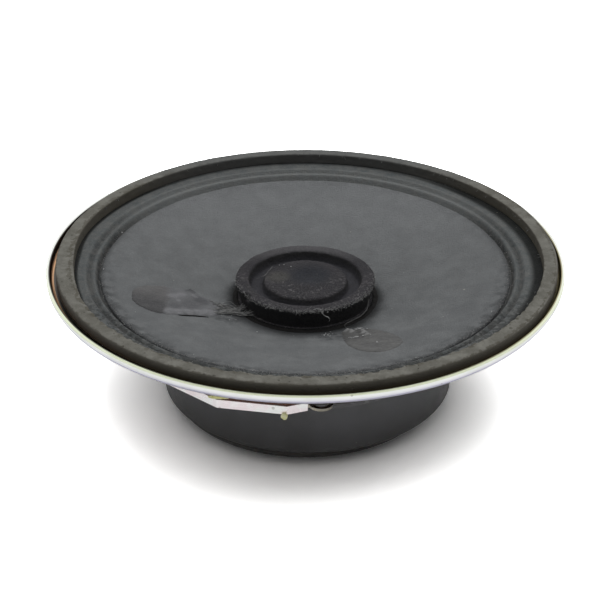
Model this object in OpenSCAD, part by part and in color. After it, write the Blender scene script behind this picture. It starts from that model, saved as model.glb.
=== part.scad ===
// Small full-range loudspeaker driver, lying face up on its back plate.
// Millimetres. The origin is at the centre of the back plate's rear face,
// +Z points out of the front of the cone, and -Y is the side with the terminals.

/* [Motor] */
// Diameter of both steel plates, behind the magnet and in front of it
plate_d = 29.6; // [28.6:0.1:31]
// Thickness of the steel back plate
back_plate_h = 1.45; // [1:0.05:2.5]
// Outer diameter of the ferrite ring
magnet_d = 32.5; // [31:0.1:34]
// Bore of the ferrite ring
magnet_bore_d = 18; // [16:0.1:20]
// Thickness of the ferrite ring
magnet_h = 6; // [5:0.1:8]
// How far the ferrite ring is glued off the axis, towards +X
magnet_offset = 0.28; // [0:0.02:0.4]
// Chamfer on the edges of the ferrite ring
magnet_chamfer = 0.3; // [0.1:0.05:0.6]
// Thickness of the front plate, the steel washer over the magnet
top_plate_h = 1.5; // [1.2:0.05:2]
// Radius that breaks the outer edge of both steel plates
plate_edge = 0.2; // [0.1:0.05:0.4]
// Radial air between the pole and the voice coil
pole_air = 0.28; // [0.2:0.02:0.4]
// Radial air between the voice coil and the bore of the front plate
bore_air = 0.25; // [0.2:0.01:0.4]

/* [Voice coil] */
// Inner diameter of the coil former
coil_d = 13; // [12.6:0.1:13.2]
// Wall of the coil former
former_wall = 0.12; // [0.08:0.01:0.16]
// Largest travel of the cone each way from rest
travel = 0.6; // [0.3:0.05:0.8]
// How far the winding still reaches past the front plate at full travel
coil_spare = 0.15; // [0.05:0.05:0.4]
// Radial build of the winding's two layers
winding_t = 0.25; // [0.15:0.01:0.3]
// How far the former reaches behind the winding
former_tail = 1.25; // [0.8:0.05:1.6]

/* [Basket] */
// Outer diameter of the rim, the largest size of the driver
rim_d = 57; // [56.6:0.1:58]
// Thickness of the pressed steel sheet
sheet = 0.4; // [0.3:0.02:0.46]
// Height of the flange's front above the basket's floor
basket_depth = 6.35; // [6.2:0.05:7]
// Height of the upturned rim above the flange's front
lip_rise = 0.74; // [0.6:0.02:1]
// Inside radius of the bend between the flange and the rim
lip_bend = 0.4; // [0.25:0.05:0.5]
// Width of the flange, from the rim's outside in to its bore
flange_w = 4; // [3.8:0.05:4.2]
// Drop of the steep step inside the flange
step_drop = 1.6; // [1.3:0.05:1.9]
// Width of the steep step, seen from the front
step_run = 0.4; // [0.2:0.05:0.6]
// Outer diameter of the flat ledge that carries the spider
ledge_d = 34.4; // [33.8:0.1:34.8]
// Width of the ledge
ledge_w = 3.1; // [2.9:0.05:3.2]
// Height of the ledge above the basket's floor
ledge_rise = 1.1; // [1:0.05:1.2]
// Width of the basket's floor, from the ledge in to the hole for the voice coil
floor_w = 4.5; // [4.2:0.1:5.5]
// Openings around the basket, with the terminal opening
window_count = 4; // [3:1:5]
// Half of the angle that one opening spans
window_half = 25; // [22:1:27]
// Radius at the corners of the openings
window_corner = 1; // [0.5:0.1:1.4]
// Metal left between an opening and the bends above and below it
window_land = 0.7; // [0.5:0.05:0.9]
// Diameter of the studs that clench the basket to the front plate
stud_d = 1.8; // [1.4:0.1:2]
// Diameter of the clenched heads
stud_head_d = 2.6; // [2.3:0.1:2.8]
// Height of the clenched heads
stud_head_h = 0.3; // [0.2:0.02:0.36]
// Number of studs
stud_count = 4; // [3:1:6]

/* [Gasket and surround] */
// Radial room between the fibre-board ring and the upturned rim
gasket_room = 0.7; // [0.55:0.05:0.85]
// Width of the fibre-board ring
gasket_w = 1.55; // [1.4:0.05:2]
// Thickness of the fibre-board ring
gasket_h = 1.24; // [1:0.02:1.5]
// Radius of the ring's outer front edge, rounded by the press
gasket_round = 0.3; // [0.1:0.05:0.5]
// Thickness of the surround
surround_t = 0.25; // [0.18:0.01:0.3]
// How far the surround's edge stays back under the gasket
surround_setback = 0.3; // [0.2:0.05:0.6]
// Depth of the surround's outer groove below its landing
groove_drop = 0.55; // [0.4:0.05:0.7]
// Depth of the surround's ridge below its landing
ridge_drop = 0.2; // [0.1:0.05:0.3]
// How far the surround's flat landing reaches over the flange's bore
landing_overhang = 0.2; // [0.1:0.05:0.4]
// Width of half a roll, from groove to ridge
half_roll = 0.5; // [0.44:0.02:0.54]

/* [Cone] */
// Radial room between the cone's edge and the flange's bore
cone_room = 1.9; // [1.75:0.05:2.2]
// Thickness of the cone's paper
cone_t = 0.36; // [0.28:0.02:0.42]
// Depth of the cone, from its edge to its neck
cone_depth = 3.95; // [3.7:0.05:4.2]
// How far the cone's edge lies behind the surround's landing
edge_drop = 0.61; // [0.5:0.01:0.75]
// Width of the surround's seat under the cone's edge
cone_seat = 0.9; // [0.6:0.05:1.3]

/* [Dust cap] */
// How far the cap's brim reaches out over the bottom of its wall
brim_reach = 0.56; // [0.4:0.02:0.7]
// Width of the brim
brim_w = 1.45; // [1.2:0.05:1.6]
// Width of the moat between the brim and the raised disc
moat_w = 1.75; // [1.5:0.05:2]
// Width of the foot that is glued to the cone
foot_w = 0.3; // [0.25:0.05:0.5]
// Height of the brim above the cone's neck
brim_rise = 2.8; // [2.6:0.05:3]
// Depth of the raised disc below the brim
disc_drop = 0.25; // [0.1:0.05:0.4]
// Depth of the moat below the brim
moat_drop = 1.2; // [0.9:0.05:1.3]
// Thickness of the cap's paper
cap_t = 0.3; // [0.22:0.02:0.34]
// Width of the glue bead inside the cap, round the former
inner_glue_w = 0.2; // [0.1:0.02:0.26]
// Width of the glue bead round the foot
glue_w = 0.5; // [0.3:0.05:0.8]
// Height of the glue bead
glue_h = 0.22; // [0.15:0.01:0.3]

/* [Spider] */
// Thickness of the spider's cloth
spider_t = 0.22; // [0.15:0.01:0.26]
// Number of rolls across the spider
spider_rolls = 3; // [2:1:4]
// Height of a roll above and below the spider's middle
roll_h = 0.32; // [0.2:0.02:0.36]
// Width of the flat at the spider's inner edge
spider_inner_land = 1.1; // [0.9:0.05:1.3]
// How far the spider's edge stays back from the ledge's edge
spider_setback = 0.6; // [0.5:0.05:0.9]

/* [Terminals] */
// Direction of the terminal tab, seen from the front
terminal_angle = -104; // [-110:1:-98]
// Height of the tab above the spider's ledge
tab_rise = 1.2; // [1.1:0.05:1.35]
// How far the tab's front edge reaches out of the basket's wall
tab_depth = 3.28; // [3:0.01:3.5]
// How far the tab's front edge is turned away from square
tab_twist = 3.5; // [3:0.1:3.6]
// Half of the tab's straight front edge
tab_front_half = 3.65; // [3.3:0.05:4]
// Angle of the tab's slanted corners
tab_chamfer_angle = 30; // [24:1:34]
// Length of the slanted edge away from the shown lug
tab_long_edge = 7.1; // [6:0.1:7.4]
// Length of the slanted edge beside the shown lug
tab_short_edge = 2.25; // [1.9:0.05:2.3]
// Height of the tab's turned-down edge, with its sheet
tab_edge_h = 0.95; // [0.8:0.05:1.2]
// Thickness of the phenolic board
board_t = 0.7; // [0.5:0.05:0.8]
// Half of the board's width
board_half = 4.9; // [4.7:0.05:5]
// How far the board's edge stays back from the tab's edge
board_setback = 0.2; // [0.1:0.05:0.4]
// Thickness of the tinned lugs
lug_t = 0.3; // [0.2:0.02:0.36]
// Width of a lug where it lies on the board
lug_w = 2; // [1.8:0.1:2.2]
// Width of a lug's narrow neck
lug_neck_w = 1.2; // [1:0.05:1.3]
// Distance from the tab's front edge back to the middle of both lugs
lug_setback = 2.3; // [2.2:0.05:2.4]
// Distance of a lug's rivet from the board's middle
lug_rivet_x = 2.6; // [2.4:0.05:2.9]
// Distance of a lug's bend from the board's middle
lug_bend_x = 5.2; // [5.15:0.05:5.3]
// Diameter of the lug rivets
lug_rivet_d = 1.2; // [1:0.05:1.4]
// Diameter of the lug rivets' heads
lug_rivet_head_d = 1.9; // [1.7:0.05:2]
// Diameter of the board rivet
board_rivet_d = 1.4; // [1.2:0.05:1.5]
// Diameter of the board rivet's head
board_rivet_head_d = 2.3; // [2:0.05:2.4]
// Board left between the board rivet's head and the board's front edge
rivet_land = 0.3; // [0.25:0.01:0.36]
// Height of the rivets' heads
rivet_head_h = 0.3; // [0.2:0.02:0.35]
// Length of a lug's eye
eye_l = 2.5; // [2.4:0.05:2.8]
// Width of a lug's eye
eye_w = 2.2; // [2:0.05:2.4]
// Width of the metal round the eye's hole
eye_ring = 0.42; // [0.35:0.01:0.5]
// Drop of the shown lug's eye below the board's top
eye_drop = 1.65; // [1.5:0.05:1.7]
// Angle at which the other lug is bent up
lug_up_angle = 15; // [0:1:20]

/* [Leads] */
// Diameter of the flexible leads
tinsel_d = 0.6; // [0.4:0.05:0.7]
// Diameter of the wires from the voice coil, with their varnish
coil_wire_d = 0.24; // [0.18:0.02:0.3]
// Diameter of the solder beads on the cone
cone_bead_d = 1.4; // [1.2:0.1:1.6]
// Height of the solder beads on the cone
cone_bead_h = 0.25; // [0.2:0.01:0.28]
// Diameter of the solder beads on the lugs
lug_bead_d = 1.3; // [1.2:0.05:1.4]
// Height of the solder beads on the lugs
lug_bead_h = 0.5; // [0.4:0.05:0.6]
// Diameter of the drip on the tab's turned-down edge
drip_d = 0.75; // [0.5:0.05:0.9]
// Thickness of the adhesive patches at their middle
patch_t = 0.42; // [0.34:0.02:0.5]
// Thickness of the adhesive patches at their edge
patch_edge_t = 0.2; // [0.14:0.02:0.26]

/* [Fits] */
// Gap between bonded curved faces that stay together
bond = 0.02; // [0.01:0.01:0.04]
// Gap between a moving piece and the piece that guides or meets it
free_gap = 0.05; // [0.04:0.01:0.08]
// Gap between the cone's neck and the spider, for their glue
spider_gap = 0.1; // [0.05:0.01:0.15]
// Room between a lug's neck and the tab's notch
notch_room = 0.45; // [0.3:0.05:0.5]
// Radial room round the flexible leads in the cone's holes
lead_room = 0.2; // [0.15:0.01:0.3]
// Radial room round the lug rivets' tails in the steel tab
tail_room = 0.4; // [0.3:0.05:0.45]

/* [Hidden] */
$fn = 96;
eps = 0.01;
arc_steps = 5;

// Heights of the stack, from the rear face of the back plate upwards
z_plate = back_plate_h;
z_magnet = z_plate + magnet_h;
z_top_plate = z_magnet + top_plate_h;
z_floor = z_top_plate + sheet;
z_ledge = z_floor + ledge_rise;
z_flange = z_floor + basket_depth;
z_landing = z_flange + surround_t;
z_front = z_landing + gasket_h;

// Radii of the voice coil and of what it runs between
coil_r = coil_d / 2;
former_r = coil_r + former_wall;
winding_r = former_r + bond + winding_t;
pole_r = coil_r - pole_air;
winding_h = top_plate_h + 2 * (travel + coil_spare);
z_coil = z_magnet + top_plate_h / 2 - winding_h / 2;
z_former_foot = z_coil - former_tail;
gap_bore_r = winding_r + bore_air;
neck_r = former_r + free_gap;

// The cone's face as a height over the radius
lip_r = rim_d / 2 - sheet;
flange_r = rim_d / 2 - flange_w;
cone_r = flange_r - cone_room;
z_cone_edge = z_landing - edge_drop;
cone_slope = cone_depth / (cone_r - neck_r);
function z_cone(r) = z_cone_edge - cone_slope * (cone_r - r);
z_neck = z_cone(neck_r);

// The basket's sloping wall as a radius over the height
ledge_r = ledge_d / 2;
ledge_inner_r = ledge_r - ledge_w;
floor_hole_r = ledge_inner_r - floor_w;
wall_top_r = flange_r - step_run;
z_wall_top = z_flange - step_drop;
wall_slope = (z_wall_top - z_ledge) / (wall_top_r - ledge_r);
function r_wall(z) = ledge_r + (z - z_ledge) / wall_slope;

// The tab, the board and the lugs, measured along and across the terminal direction
z_tab = z_ledge + tab_rise;
z_board = z_tab + board_t;
z_lug = z_board + lug_t;
tab_reach = r_wall(z_tab) + tab_depth;
lug_reach = tab_reach - lug_setback;
lug_bead_x = (lug_rivet_x + lug_rivet_head_d / 2 + lug_bend_x) / 2;

// The dust cap
z_brim = z_neck + brim_rise;
z_moat = z_brim - moat_drop;
z_former_top = z_moat - cap_t - free_gap - bond;

// Places of the solder joints on the cone
left_joint = [-12.6, -2.6];
right_joint = [5.6, -10.5];

// Straight lines with rounded corners, and strips of even thickness along them
function unit(v) = v / norm(v);
function left_of(v) = [-v[1], v[0]];
function turn(a) = a > 180 ? a - 360 : (a < -180 ? a + 360 : a);
function corner(a, b, c, r) =
    let (u = unit(a - b), v = unit(c - b), half = acos(u * v) / 2)
    let (centre = b + unit(u + v) * r / sin(half))
    let (p = b + u * r / tan(half) - centre, q = b + v * r / tan(half) - centre)
    let (start = atan2(p[1], p[0]), sweep = turn(atan2(q[1], q[0]) - start))
    [for (i = [0 : arc_steps]) let (at = start + sweep * i / arc_steps) centre + r * [cos(at), sin(at)]];
function rounded(path, radii) = [
    path[0],
    for (i = [1 : len(path) - 2]) each (radii[i - 1] > 0
        ? corner(path[i - 1], path[i], path[i + 1], radii[i - 1]) : [path[i]]),
    path[len(path) - 1]];
function heading(path, i) = unit(path[i + 1] - path[i]);
function side_step(path, i, last) =
    let (a = left_of(heading(path, max(i - 1, 0))), b = left_of(heading(path, min(i, last - 1))))
    let (m = unit(a + b))
    m / (m * a);
function beside(path, t) = [for (i = [0 : len(path) - 1]) path[i] - t * side_step(path, i, len(path) - 1)];
function backwards(path) = [for (i = [len(path) - 1 : -1 : 0]) path[i]];
function strip(path, t) = concat(path, backwards(beside(path, t)));
function sheet_under(path, t) = concat(path, [for (p = backwards(path)) p - [0, t]]);

// A smooth rise or fall between two points of a pressed profile
wave_steps = 6;
function wave(a, b) = [for (i = [1 : wave_steps])
    [a[0] + (b[0] - a[0]) * i / wave_steps, a[1] + (b[1] - a[1]) * (1 - cos(180 * i / wave_steps)) / 2]];

// A ring of metal or paper whose section is given
module turned(section) rotate_extrude() polygon(section);

// Places a shape at the terminal: +X runs along the tab's front edge, +Y points outwards. All of it
// turns with the tab round the middle of its front edge
module at_terminal(z = 0) {
    translate([0, 0, z]) rotate([0, 0, terminal_angle - 90]) mirror([1, 0, 0]) {
        translate([0, tab_reach, 0]) rotate([0, 0, -tab_twist]) translate([0, -tab_reach, 0]) children();
    }
}
function terminal_point(x, y, z) =
    let (out = [cos(terminal_angle), sin(terminal_angle)], side = left_of(out), back = y - tab_reach)
    let (p = (x * cos(tab_twist) + back * sin(tab_twist)) * side
        + (tab_reach - x * sin(tab_twist) + back * cos(tab_twist)) * out)
    [p[0], p[1], z];

// The motor
module back_yoke() color("silver") {
    turned([[0, 0], [plate_d / 2 - plate_edge, 0], [plate_d / 2, plate_edge],
        [plate_d / 2, z_plate - plate_edge], [plate_d / 2 - plate_edge, z_plate],
        [pole_r, z_plate], [pole_r, z_top_plate - plate_edge], [pole_r - plate_edge, z_top_plate],
        [0, z_top_plate]]);
}

module magnet() color([0.24, 0.24, 0.25]) translate([magnet_offset, 0, 0]) {
    turned([[magnet_bore_d / 2, z_plate], [magnet_d / 2 - magnet_chamfer, z_plate],
        [magnet_d / 2, z_plate + magnet_chamfer], [magnet_d / 2, z_magnet - magnet_chamfer],
        [magnet_d / 2 - magnet_chamfer, z_magnet], [magnet_bore_d / 2, z_magnet]]);
}

// Angles of the openings and of the webs between them
window_pitch = 360 / window_count;
stud_r = ledge_inner_r - floor_w / 2;
module at_studs() {
    for (i = [0 : stud_count - 1]) {
        rotate([0, 0, terminal_angle + (i + 0.5) * 360 / stud_count]) translate([stud_r, 0, 0]) children();
    }
}

module top_plate() color("silver") difference() {
    turned([[gap_bore_r, z_magnet], [plate_d / 2 - plate_edge, z_magnet],
        [plate_d / 2, z_magnet + plate_edge], [plate_d / 2, z_top_plate - plate_edge],
        [plate_d / 2 - plate_edge, z_top_plate], [gap_bore_r, z_top_plate]]);
    at_studs() translate([0, 0, z_magnet - eps]) {
        cylinder(h = top_plate_h + 2 * eps, d = stud_d + 2 * bond);
    }
}

module basket_rivets() color("silver") at_studs() {
    translate([0, 0, z_magnet]) cylinder(h = z_floor + bond - z_magnet, d = stud_d);
    translate([0, 0, z_floor]) cylinder(h = stud_head_h, d1 = stud_head_d, d2 = stud_head_d - stud_head_h);
}

// The basket is one sheet, drawn along its front side from the floor's hole out to the rim
step_bend = 0.8;
wall_bend = 0.6;
floor_bend = 0.3;
basket_line = rounded(
    [[floor_hole_r, z_floor], [ledge_inner_r - ledge_rise / 2, z_floor],
        [ledge_inner_r, z_ledge], [ledge_r, z_ledge], [wall_top_r, z_wall_top],
        [flange_r, z_flange], [lip_r, z_flange], [lip_r, z_flange + lip_rise]],
    [floor_bend, floor_bend + sheet, wall_bend, step_bend, step_bend, lip_bend]);

// An opening with rounded corners, laid out along an arc and across the radius
corner_steps = 4;
side_steps = 6;
function window_corner_points(r, x, side_x, side_r, mid_r) = [for (i = [0 : corner_steps])
    let (a = 90 * i / corner_steps)
    let (along = side_x * (side_x * side_r > 0 ? sin(a) : cos(a)))
    let (across = side_r * (side_x * side_r > 0 ? cos(a) : sin(a)))
    [r + window_corner * across, (x + window_corner * along) / mid_r * 180 / PI]];
function window_outline(r0, r1, half) =
    let (mid = (r0 + r1) / 2, reach = mid * half * PI / 180 - window_corner)
    let (polar = concat(
        window_corner_points(r1 - window_corner, -reach, -1, 1, mid),
        [for (i = [1 : side_steps - 1]) [r1, (-1 + 2 * i / side_steps) * reach / mid * 180 / PI]],
        window_corner_points(r1 - window_corner, reach, 1, 1, mid),
        window_corner_points(r0 + window_corner, reach, 1, -1, mid),
        [for (i = [1 : side_steps - 1]) [r0, (1 - 2 * i / side_steps) * reach / mid * 180 / PI]],
        window_corner_points(r0 + window_corner, -reach, -1, -1, mid)))
    [for (p = polar) p[0] * [cos(p[1]), sin(p[1])]];
module opening(r0, r1, z0) translate([0, 0, z0]) {
    linear_extrude(z_flange - z0) polygon(window_outline(r0, r1, window_half));
}

// The outline of the tab, from its long slanted edge round to its short one
tab_long_x = tab_front_half + tab_long_edge * cos(tab_chamfer_angle);
tab_long_y = tab_reach - tab_long_edge * sin(tab_chamfer_angle);
tab_short_x = tab_front_half + tab_short_edge * cos(tab_chamfer_angle);
tab_short_y = tab_reach - tab_short_edge * sin(tab_chamfer_angle);
tab_front_line = [[-tab_long_x, tab_long_y], [-tab_front_half, tab_reach], [tab_front_half, tab_reach],
    [tab_short_x, tab_short_y]];
root_share = 0.8;
root_sink = 0.05;
tab_outline = concat(tab_front_line,
    [[tab_short_x, tab_short_y * root_share], [-tab_long_x * root_share, tab_long_y * root_share]]);
notch_x = lug_bend_x - notch_room;
function slant(x) = (x - tab_front_half) * tan(tab_chamfer_angle);
function lip_back(x) = tab_reach - slant(x) - sheet / cos(tab_chamfer_angle);
board_front = tab_reach - board_setback;
board_back = lug_reach - lug_w / 2;
board_rivet_reach = board_front - rivet_land - board_rivet_head_d / 2;
module tab() difference() {
    at_terminal() {
        translate([0, 0, z_tab - sheet]) linear_extrude(sheet) polygon(tab_outline);
        translate([0, 0, z_tab - tab_edge_h]) {
            linear_extrude(tab_edge_h) polygon(strip(tab_front_line, sheet));
        }
    }
    translate([0, 0, z_tab - tab_edge_h - eps]) {
        cylinder(h = tab_edge_h + 2 * eps, r = r_wall(z_tab) + root_sink);
    }
    at_terminal(z_tab - sheet - eps) {
        translate([0, board_rivet_reach, 0]) cylinder(h = sheet + 2 * eps, d = board_rivet_d + 2 * bond);
        linear_extrude(sheet + 2 * eps) polygon([[notch_x, 0], [tab_short_x + eps, 0],
            [tab_short_x + eps, lip_back(tab_short_x + eps)], [notch_x, lip_back(notch_x)]]);
    }
}

module basket() color("gainsboro") difference() {
    union() {
        turned(strip(basket_line, sheet));
        tab();
    }
    for (i = [1 : window_count - 1]) {
        rotate([0, 0, terminal_angle + i * window_pitch]) {
            opening(ledge_r + window_land, wall_top_r - window_land, z_floor);
        }
    }
    rotate([0, 0, terminal_angle]) {
        opening(r_wall(z_tab) - wall_bend, wall_top_r - window_land, z_tab);
    }
    at_terminal(z_tab - tab_edge_h) for (x = [-lug_rivet_x, lug_rivet_x]) {
        translate([x, lug_reach, 0]) cylinder(h = tab_edge_h + eps, d = lug_rivet_head_d + 2 * tail_room);
    }
    at_studs() translate([0, 0, z_top_plate - eps]) {
        cylinder(h = sheet + 2 * eps, d = stud_d + 2 * bond);
    }
}

gasket_r = lip_r - gasket_room;
module gasket() color([0.42, 0.41, 0.39]) {
    turned(concat(
        [[gasket_r - gasket_w, z_landing], [gasket_r, z_landing]],
        [for (i = [0 : arc_steps]) [gasket_r - gasket_round, z_front - gasket_round]
            + gasket_round * [cos(90 * i / arc_steps), sin(90 * i / arc_steps)]],
        [[gasket_r - gasket_w, z_front]]));
}

// The surround starts under the cone's edge and ends under the gasket
seat_end = [cone_r + free_gap, z_cone(cone_r) - cone_t - free_gap];
seat_start = [cone_r - cone_seat, z_cone(cone_r - cone_seat) - cone_t - free_gap];
landing_r = flange_r - landing_overhang;
ridge_r = landing_r - 2 * half_roll;
surround_line = concat(
    [seat_start, seat_end],
    wave(seat_end, [ridge_r, z_landing - ridge_drop]),
    wave([ridge_r, z_landing - ridge_drop], [ridge_r + half_roll, z_landing - groove_drop]),
    wave([ridge_r + half_roll, z_landing - groove_drop], [landing_r, z_landing]),
    [[gasket_r - surround_setback, z_landing]]);
module surround() color([0.34, 0.34, 0.35]) turned(sheet_under(surround_line, surround_t));

// The cone's front, from its edge in to the neck, which turns down round the former
z_neck_foot = z_ledge + spider_t + spider_gap;
z_neck_back = z_cone(neck_r + cone_t) - cone_t;
neck_bend = min(0.3, z_neck_back - z_neck_foot);
cone_line = rounded(
    [[neck_r + cone_t, z_neck_foot], [neck_r + cone_t, z_neck_back], [cone_r, z_cone_edge - cone_t]],
    [neck_bend]);
module cone() color([0.38, 0.39, 0.40]) difference() {
    turned(concat(backwards(cone_line),
        [[neck_r, z_neck_foot], [neck_r, z_neck], [cone_r, z_cone_edge]]));
    for (p = [left_joint, right_joint]) translate([p[0], p[1], z_neck - cone_t]) {
        cylinder(h = cone_depth + cone_t, d = tinsel_d + 2 * lead_room);
    }
}

// The dust cap, drawn along its front from the middle out to the foot
wall_foot_r = neck_r + inner_glue_w + cap_t + bond;
foot_r = wall_foot_r + foot_w;
foot_lift = bond + cap_t * norm([1, cone_slope]);
z_foot = z_cone(wall_foot_r) + foot_lift;
moat_bend = 0.2;
foot_bend = 0.1;
brim_bend = cap_t + 0.05;
moat_lean = moat_drop / 4;
cap_lean = brim_reach / (z_brim - z_foot);
brim_corner_r = wall_foot_r + brim_reach + brim_bend * (tan((90 + atan(cap_lean)) / 2) - 1);
brim_bore_r = wall_foot_r + brim_reach - brim_w;
disc_r = brim_bore_r - moat_w;
cap_line = rounded(
    [[0, z_brim - disc_drop], [disc_r, z_brim - disc_drop], [disc_r + moat_lean, z_moat],
        [brim_bore_r - moat_lean, z_moat], [brim_bore_r, z_brim], [brim_corner_r, z_brim],
        [wall_foot_r, z_foot], [foot_r, z_cone(foot_r) + foot_lift]],
    [brim_bend, moat_bend, moat_bend, brim_bend, brim_bend, foot_bend]);
module dust_cap() color([0.27, 0.26, 0.28]) turned(strip(cap_line, cap_t));

// A layer that lies on the cone's face between two radii
module on_cone(r0, r1, lift, t) {
    z0 = z_cone(r0) + lift;
    z1 = z_cone(r1) + lift;
    turned([[r0, z0], [r1, z1], [r1, z1 + t], [r0, z0 + t]]);
}

// The glue round the foot bulges a little between the foot and the cone
glue_bulge = [0.5, 0.75];
module cap_glue() color([0.08, 0.08, 0.08]) {
    r = foot_r + cap_t * cone_slope / norm([1, cone_slope]) + bond;
    z = z_cone(r) + bond;
    turned([[r, z], [r + glue_w, z_cone(r + glue_w) + bond],
        [r + glue_w * glue_bulge[0], z + glue_h * glue_bulge[1]], [r, z + glue_h]]);
}

// The bead that bonds the neck to the former sits on top of the neck, inside the cap
module neck_glue() color([0.1, 0.08, 0.06]) {
    bead_r = former_r + bond;
    bead_end = neck_r + inner_glue_w;
    turned([[bead_r, z_neck + bond], [neck_r, z_neck + bond], [bead_end, z_cone(bead_end) + bond],
        [bead_r, z_neck + glue_h]]);
}

module voice_coil_former() color([0.72, 0.6, 0.4]) {
    turned([[coil_r, z_former_foot], [former_r, z_former_foot], [former_r, z_former_top],
        [coil_r, z_former_top]]);
}

module coil_winding() color([0.72, 0.38, 0.2]) {
    turned([[former_r + bond, z_coil], [winding_r, z_coil], [winding_r, z_coil + winding_h],
        [former_r + bond, z_coil + winding_h]]);
}

// The spider runs from the former out to the ledge, with its rolls in between
spider_r0 = former_r + free_gap;
spider_r1 = ledge_r - spider_setback;
roll_r0 = spider_r0 + spider_inner_land;
roll_r1 = ledge_inner_r - bond;
z_spider = z_ledge + spider_t;
half_spider = (roll_r1 - roll_r0) / (2 * spider_rolls);
spider_line = concat(
    [[spider_r0, z_spider], [roll_r0, z_spider]],
    wave([roll_r0, z_spider], [roll_r0 + half_spider / 2, z_spider + roll_h]),
    [for (i = [0 : 2 * spider_rolls - 2]) each wave(
        [roll_r0 + half_spider * (i + 0.5), z_spider + (i % 2 == 0 ? roll_h : -roll_h)],
        [roll_r0 + half_spider * (i + 1.5), z_spider + (i % 2 == 0 ? -roll_h : roll_h)])],
    wave([roll_r1 - half_spider / 2, z_spider - roll_h], [roll_r1, z_spider]),
    [[spider_r1, z_spider]]);
module spider() color([0.75, 0.6, 0.32]) turned(sheet_under(spider_line, spider_t));

// The phenolic board keeps back from the tab's edges by its setback
board_side = board_front - slant(board_half);
module terminal_board() color([0.34, 0.16, 0.09]) at_terminal(z_tab) difference() {
    linear_extrude(board_t) polygon([[-board_half, board_back], [-board_half, board_side],
        [-tab_front_half, board_front], [tab_front_half, board_front], [board_half, board_side],
        [board_half, board_back]]);
    translate([0, board_rivet_reach, -eps]) cylinder(h = board_t + 2 * eps, d = board_rivet_d + 2 * bond);
    for (x = [-lug_rivet_x, lug_rivet_x]) {
        translate([x, lug_reach, -eps]) cylinder(h = board_t + 2 * eps, d = lug_rivet_d + 2 * bond);
    }
}

// A rivet with a head above what it holds and a head below it
module rivet(z0, z1, shank_d, head_d) {
    translate([0, 0, z0]) cylinder(h = z1 - z0, d = shank_d);
    translate([0, 0, z1]) cylinder(h = rivet_head_h, d1 = head_d, d2 = head_d - rivet_head_h);
    translate([0, 0, z0 - rivet_head_h]) {
        cylinder(h = rivet_head_h, d1 = head_d - rivet_head_h, d2 = head_d);
    }
}

module board_rivet() color("silver") at_terminal() translate([0, board_rivet_reach, 0]) {
    rivet(z_tab - sheet, z_board, board_rivet_d, board_rivet_head_d);
}

module lug_rivets() color([0.8, 0.7, 0.45]) at_terminal() {
    for (x = [-lug_rivet_x, lug_rivet_x]) translate([x, lug_reach, 0]) difference() {
        rivet(z_tab, z_lug, lug_rivet_d, lug_rivet_head_d);
        translate([0, 0, z_lug - board_t / 2]) {
            cylinder(h = board_t / 2 + rivet_head_h + eps, d = lug_rivet_d / 2);
        }
    }
}

// A lug lies flat to its bend. Its neck then slants, and the oval eye follows at its own angle
function oval(l, w, a = 0, steps = 36) = [for (i = [0 : steps - 1])
    l / 2 * cos(360 * i / steps) * [cos(a), sin(a)] + w / 2 * sin(360 * i / steps) * [-sin(a), cos(a)]];
module lug_bend() rotate([90, 0, 0]) cylinder(h = lug_neck_w, d = lug_t, center = true);
module eye() difference() {
    union() {
        translate([eye_l / 2, 0, 0]) linear_extrude(lug_t, center = true) polygon(oval(eye_l, eye_w));
        translate([lug_neck_w / 4 + eps, 0, 0]) {
            cube([lug_neck_w / 2 + eps, lug_neck_w, lug_t], center = true);
        }
    }
    translate([eye_l / 2, 0, 0]) {
        linear_extrude(2 * lug_t, center = true) polygon(oval(eye_l - 2 * eye_ring, eye_w - 2 * eye_ring));
    }
}
module lug(neck_l, neck_angle, eye_angle) translate([0, 0, z_board + lug_t / 2]) {
    flat_x0 = lug_rivet_x - lug_rivet_head_d / 2;
    flat_l = lug_bend_x - lug_w / 4 - flat_x0;
    difference() {
        translate([flat_x0, -lug_w / 2, -lug_t / 2]) cube([flat_l, lug_w, lug_t]);
        translate([lug_rivet_x, 0, -lug_t]) cylinder(h = 2 * lug_t, d = lug_rivet_d + 2 * bond);
    }
    translate([flat_x0 + flat_l - eps, -lug_neck_w / 2, -lug_t / 2]) {
        cube([lug_w / 4 + eps, lug_neck_w, lug_t]);
    }
    translate([lug_bend_x, 0, 0]) rotate([0, neck_angle, 0]) {
        lug_bend();
        translate([0, -lug_neck_w / 2, -lug_t / 2]) cube([neck_l, lug_neck_w, lug_t]);
        translate([neck_l, 0, 0]) rotate([0, eye_angle - neck_angle, 0]) {
            lug_bend();
            eye();
        }
    }
}
lug_down_angle = 80;
module terminal_lug_right() color([0.85, 0.84, 0.8]) at_terminal() translate([0, lug_reach, 0]) {
    lug(eye_drop / sin(lug_down_angle), lug_down_angle, 0);
}
module terminal_lug_left() color([0.85, 0.84, 0.8]) at_terminal() {
    translate([0, lug_reach, 0]) mirror([1, 0, 0]) lug(lug_t, -lug_up_angle, -lug_up_angle);
}

// Solder: a bead on each lug, and the drip on the tab's turned-down edge
module dome(d, h) {
    r = (d * d / 4 + h * h) / (2 * h);
    intersection() {
        cylinder(h = h, d = d);
        translate([0, 0, h - r]) sphere(r = r);
    }
}
module solder_joints() color([0.76, 0.75, 0.66]) {
    at_terminal(z_lug) for (x = [-lug_bead_x, lug_bead_x]) {
        translate([x, lug_reach, 0]) dome(lug_bead_d, lug_bead_h);
    }
    at_terminal(z_tab - tab_edge_h) translate([tab_front_half - drip_d / 3, tab_reach, -drip_d / 4]) {
        rotate([-90, 0, 0]) dome(drip_d, drip_d / 2);
    }
}

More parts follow.
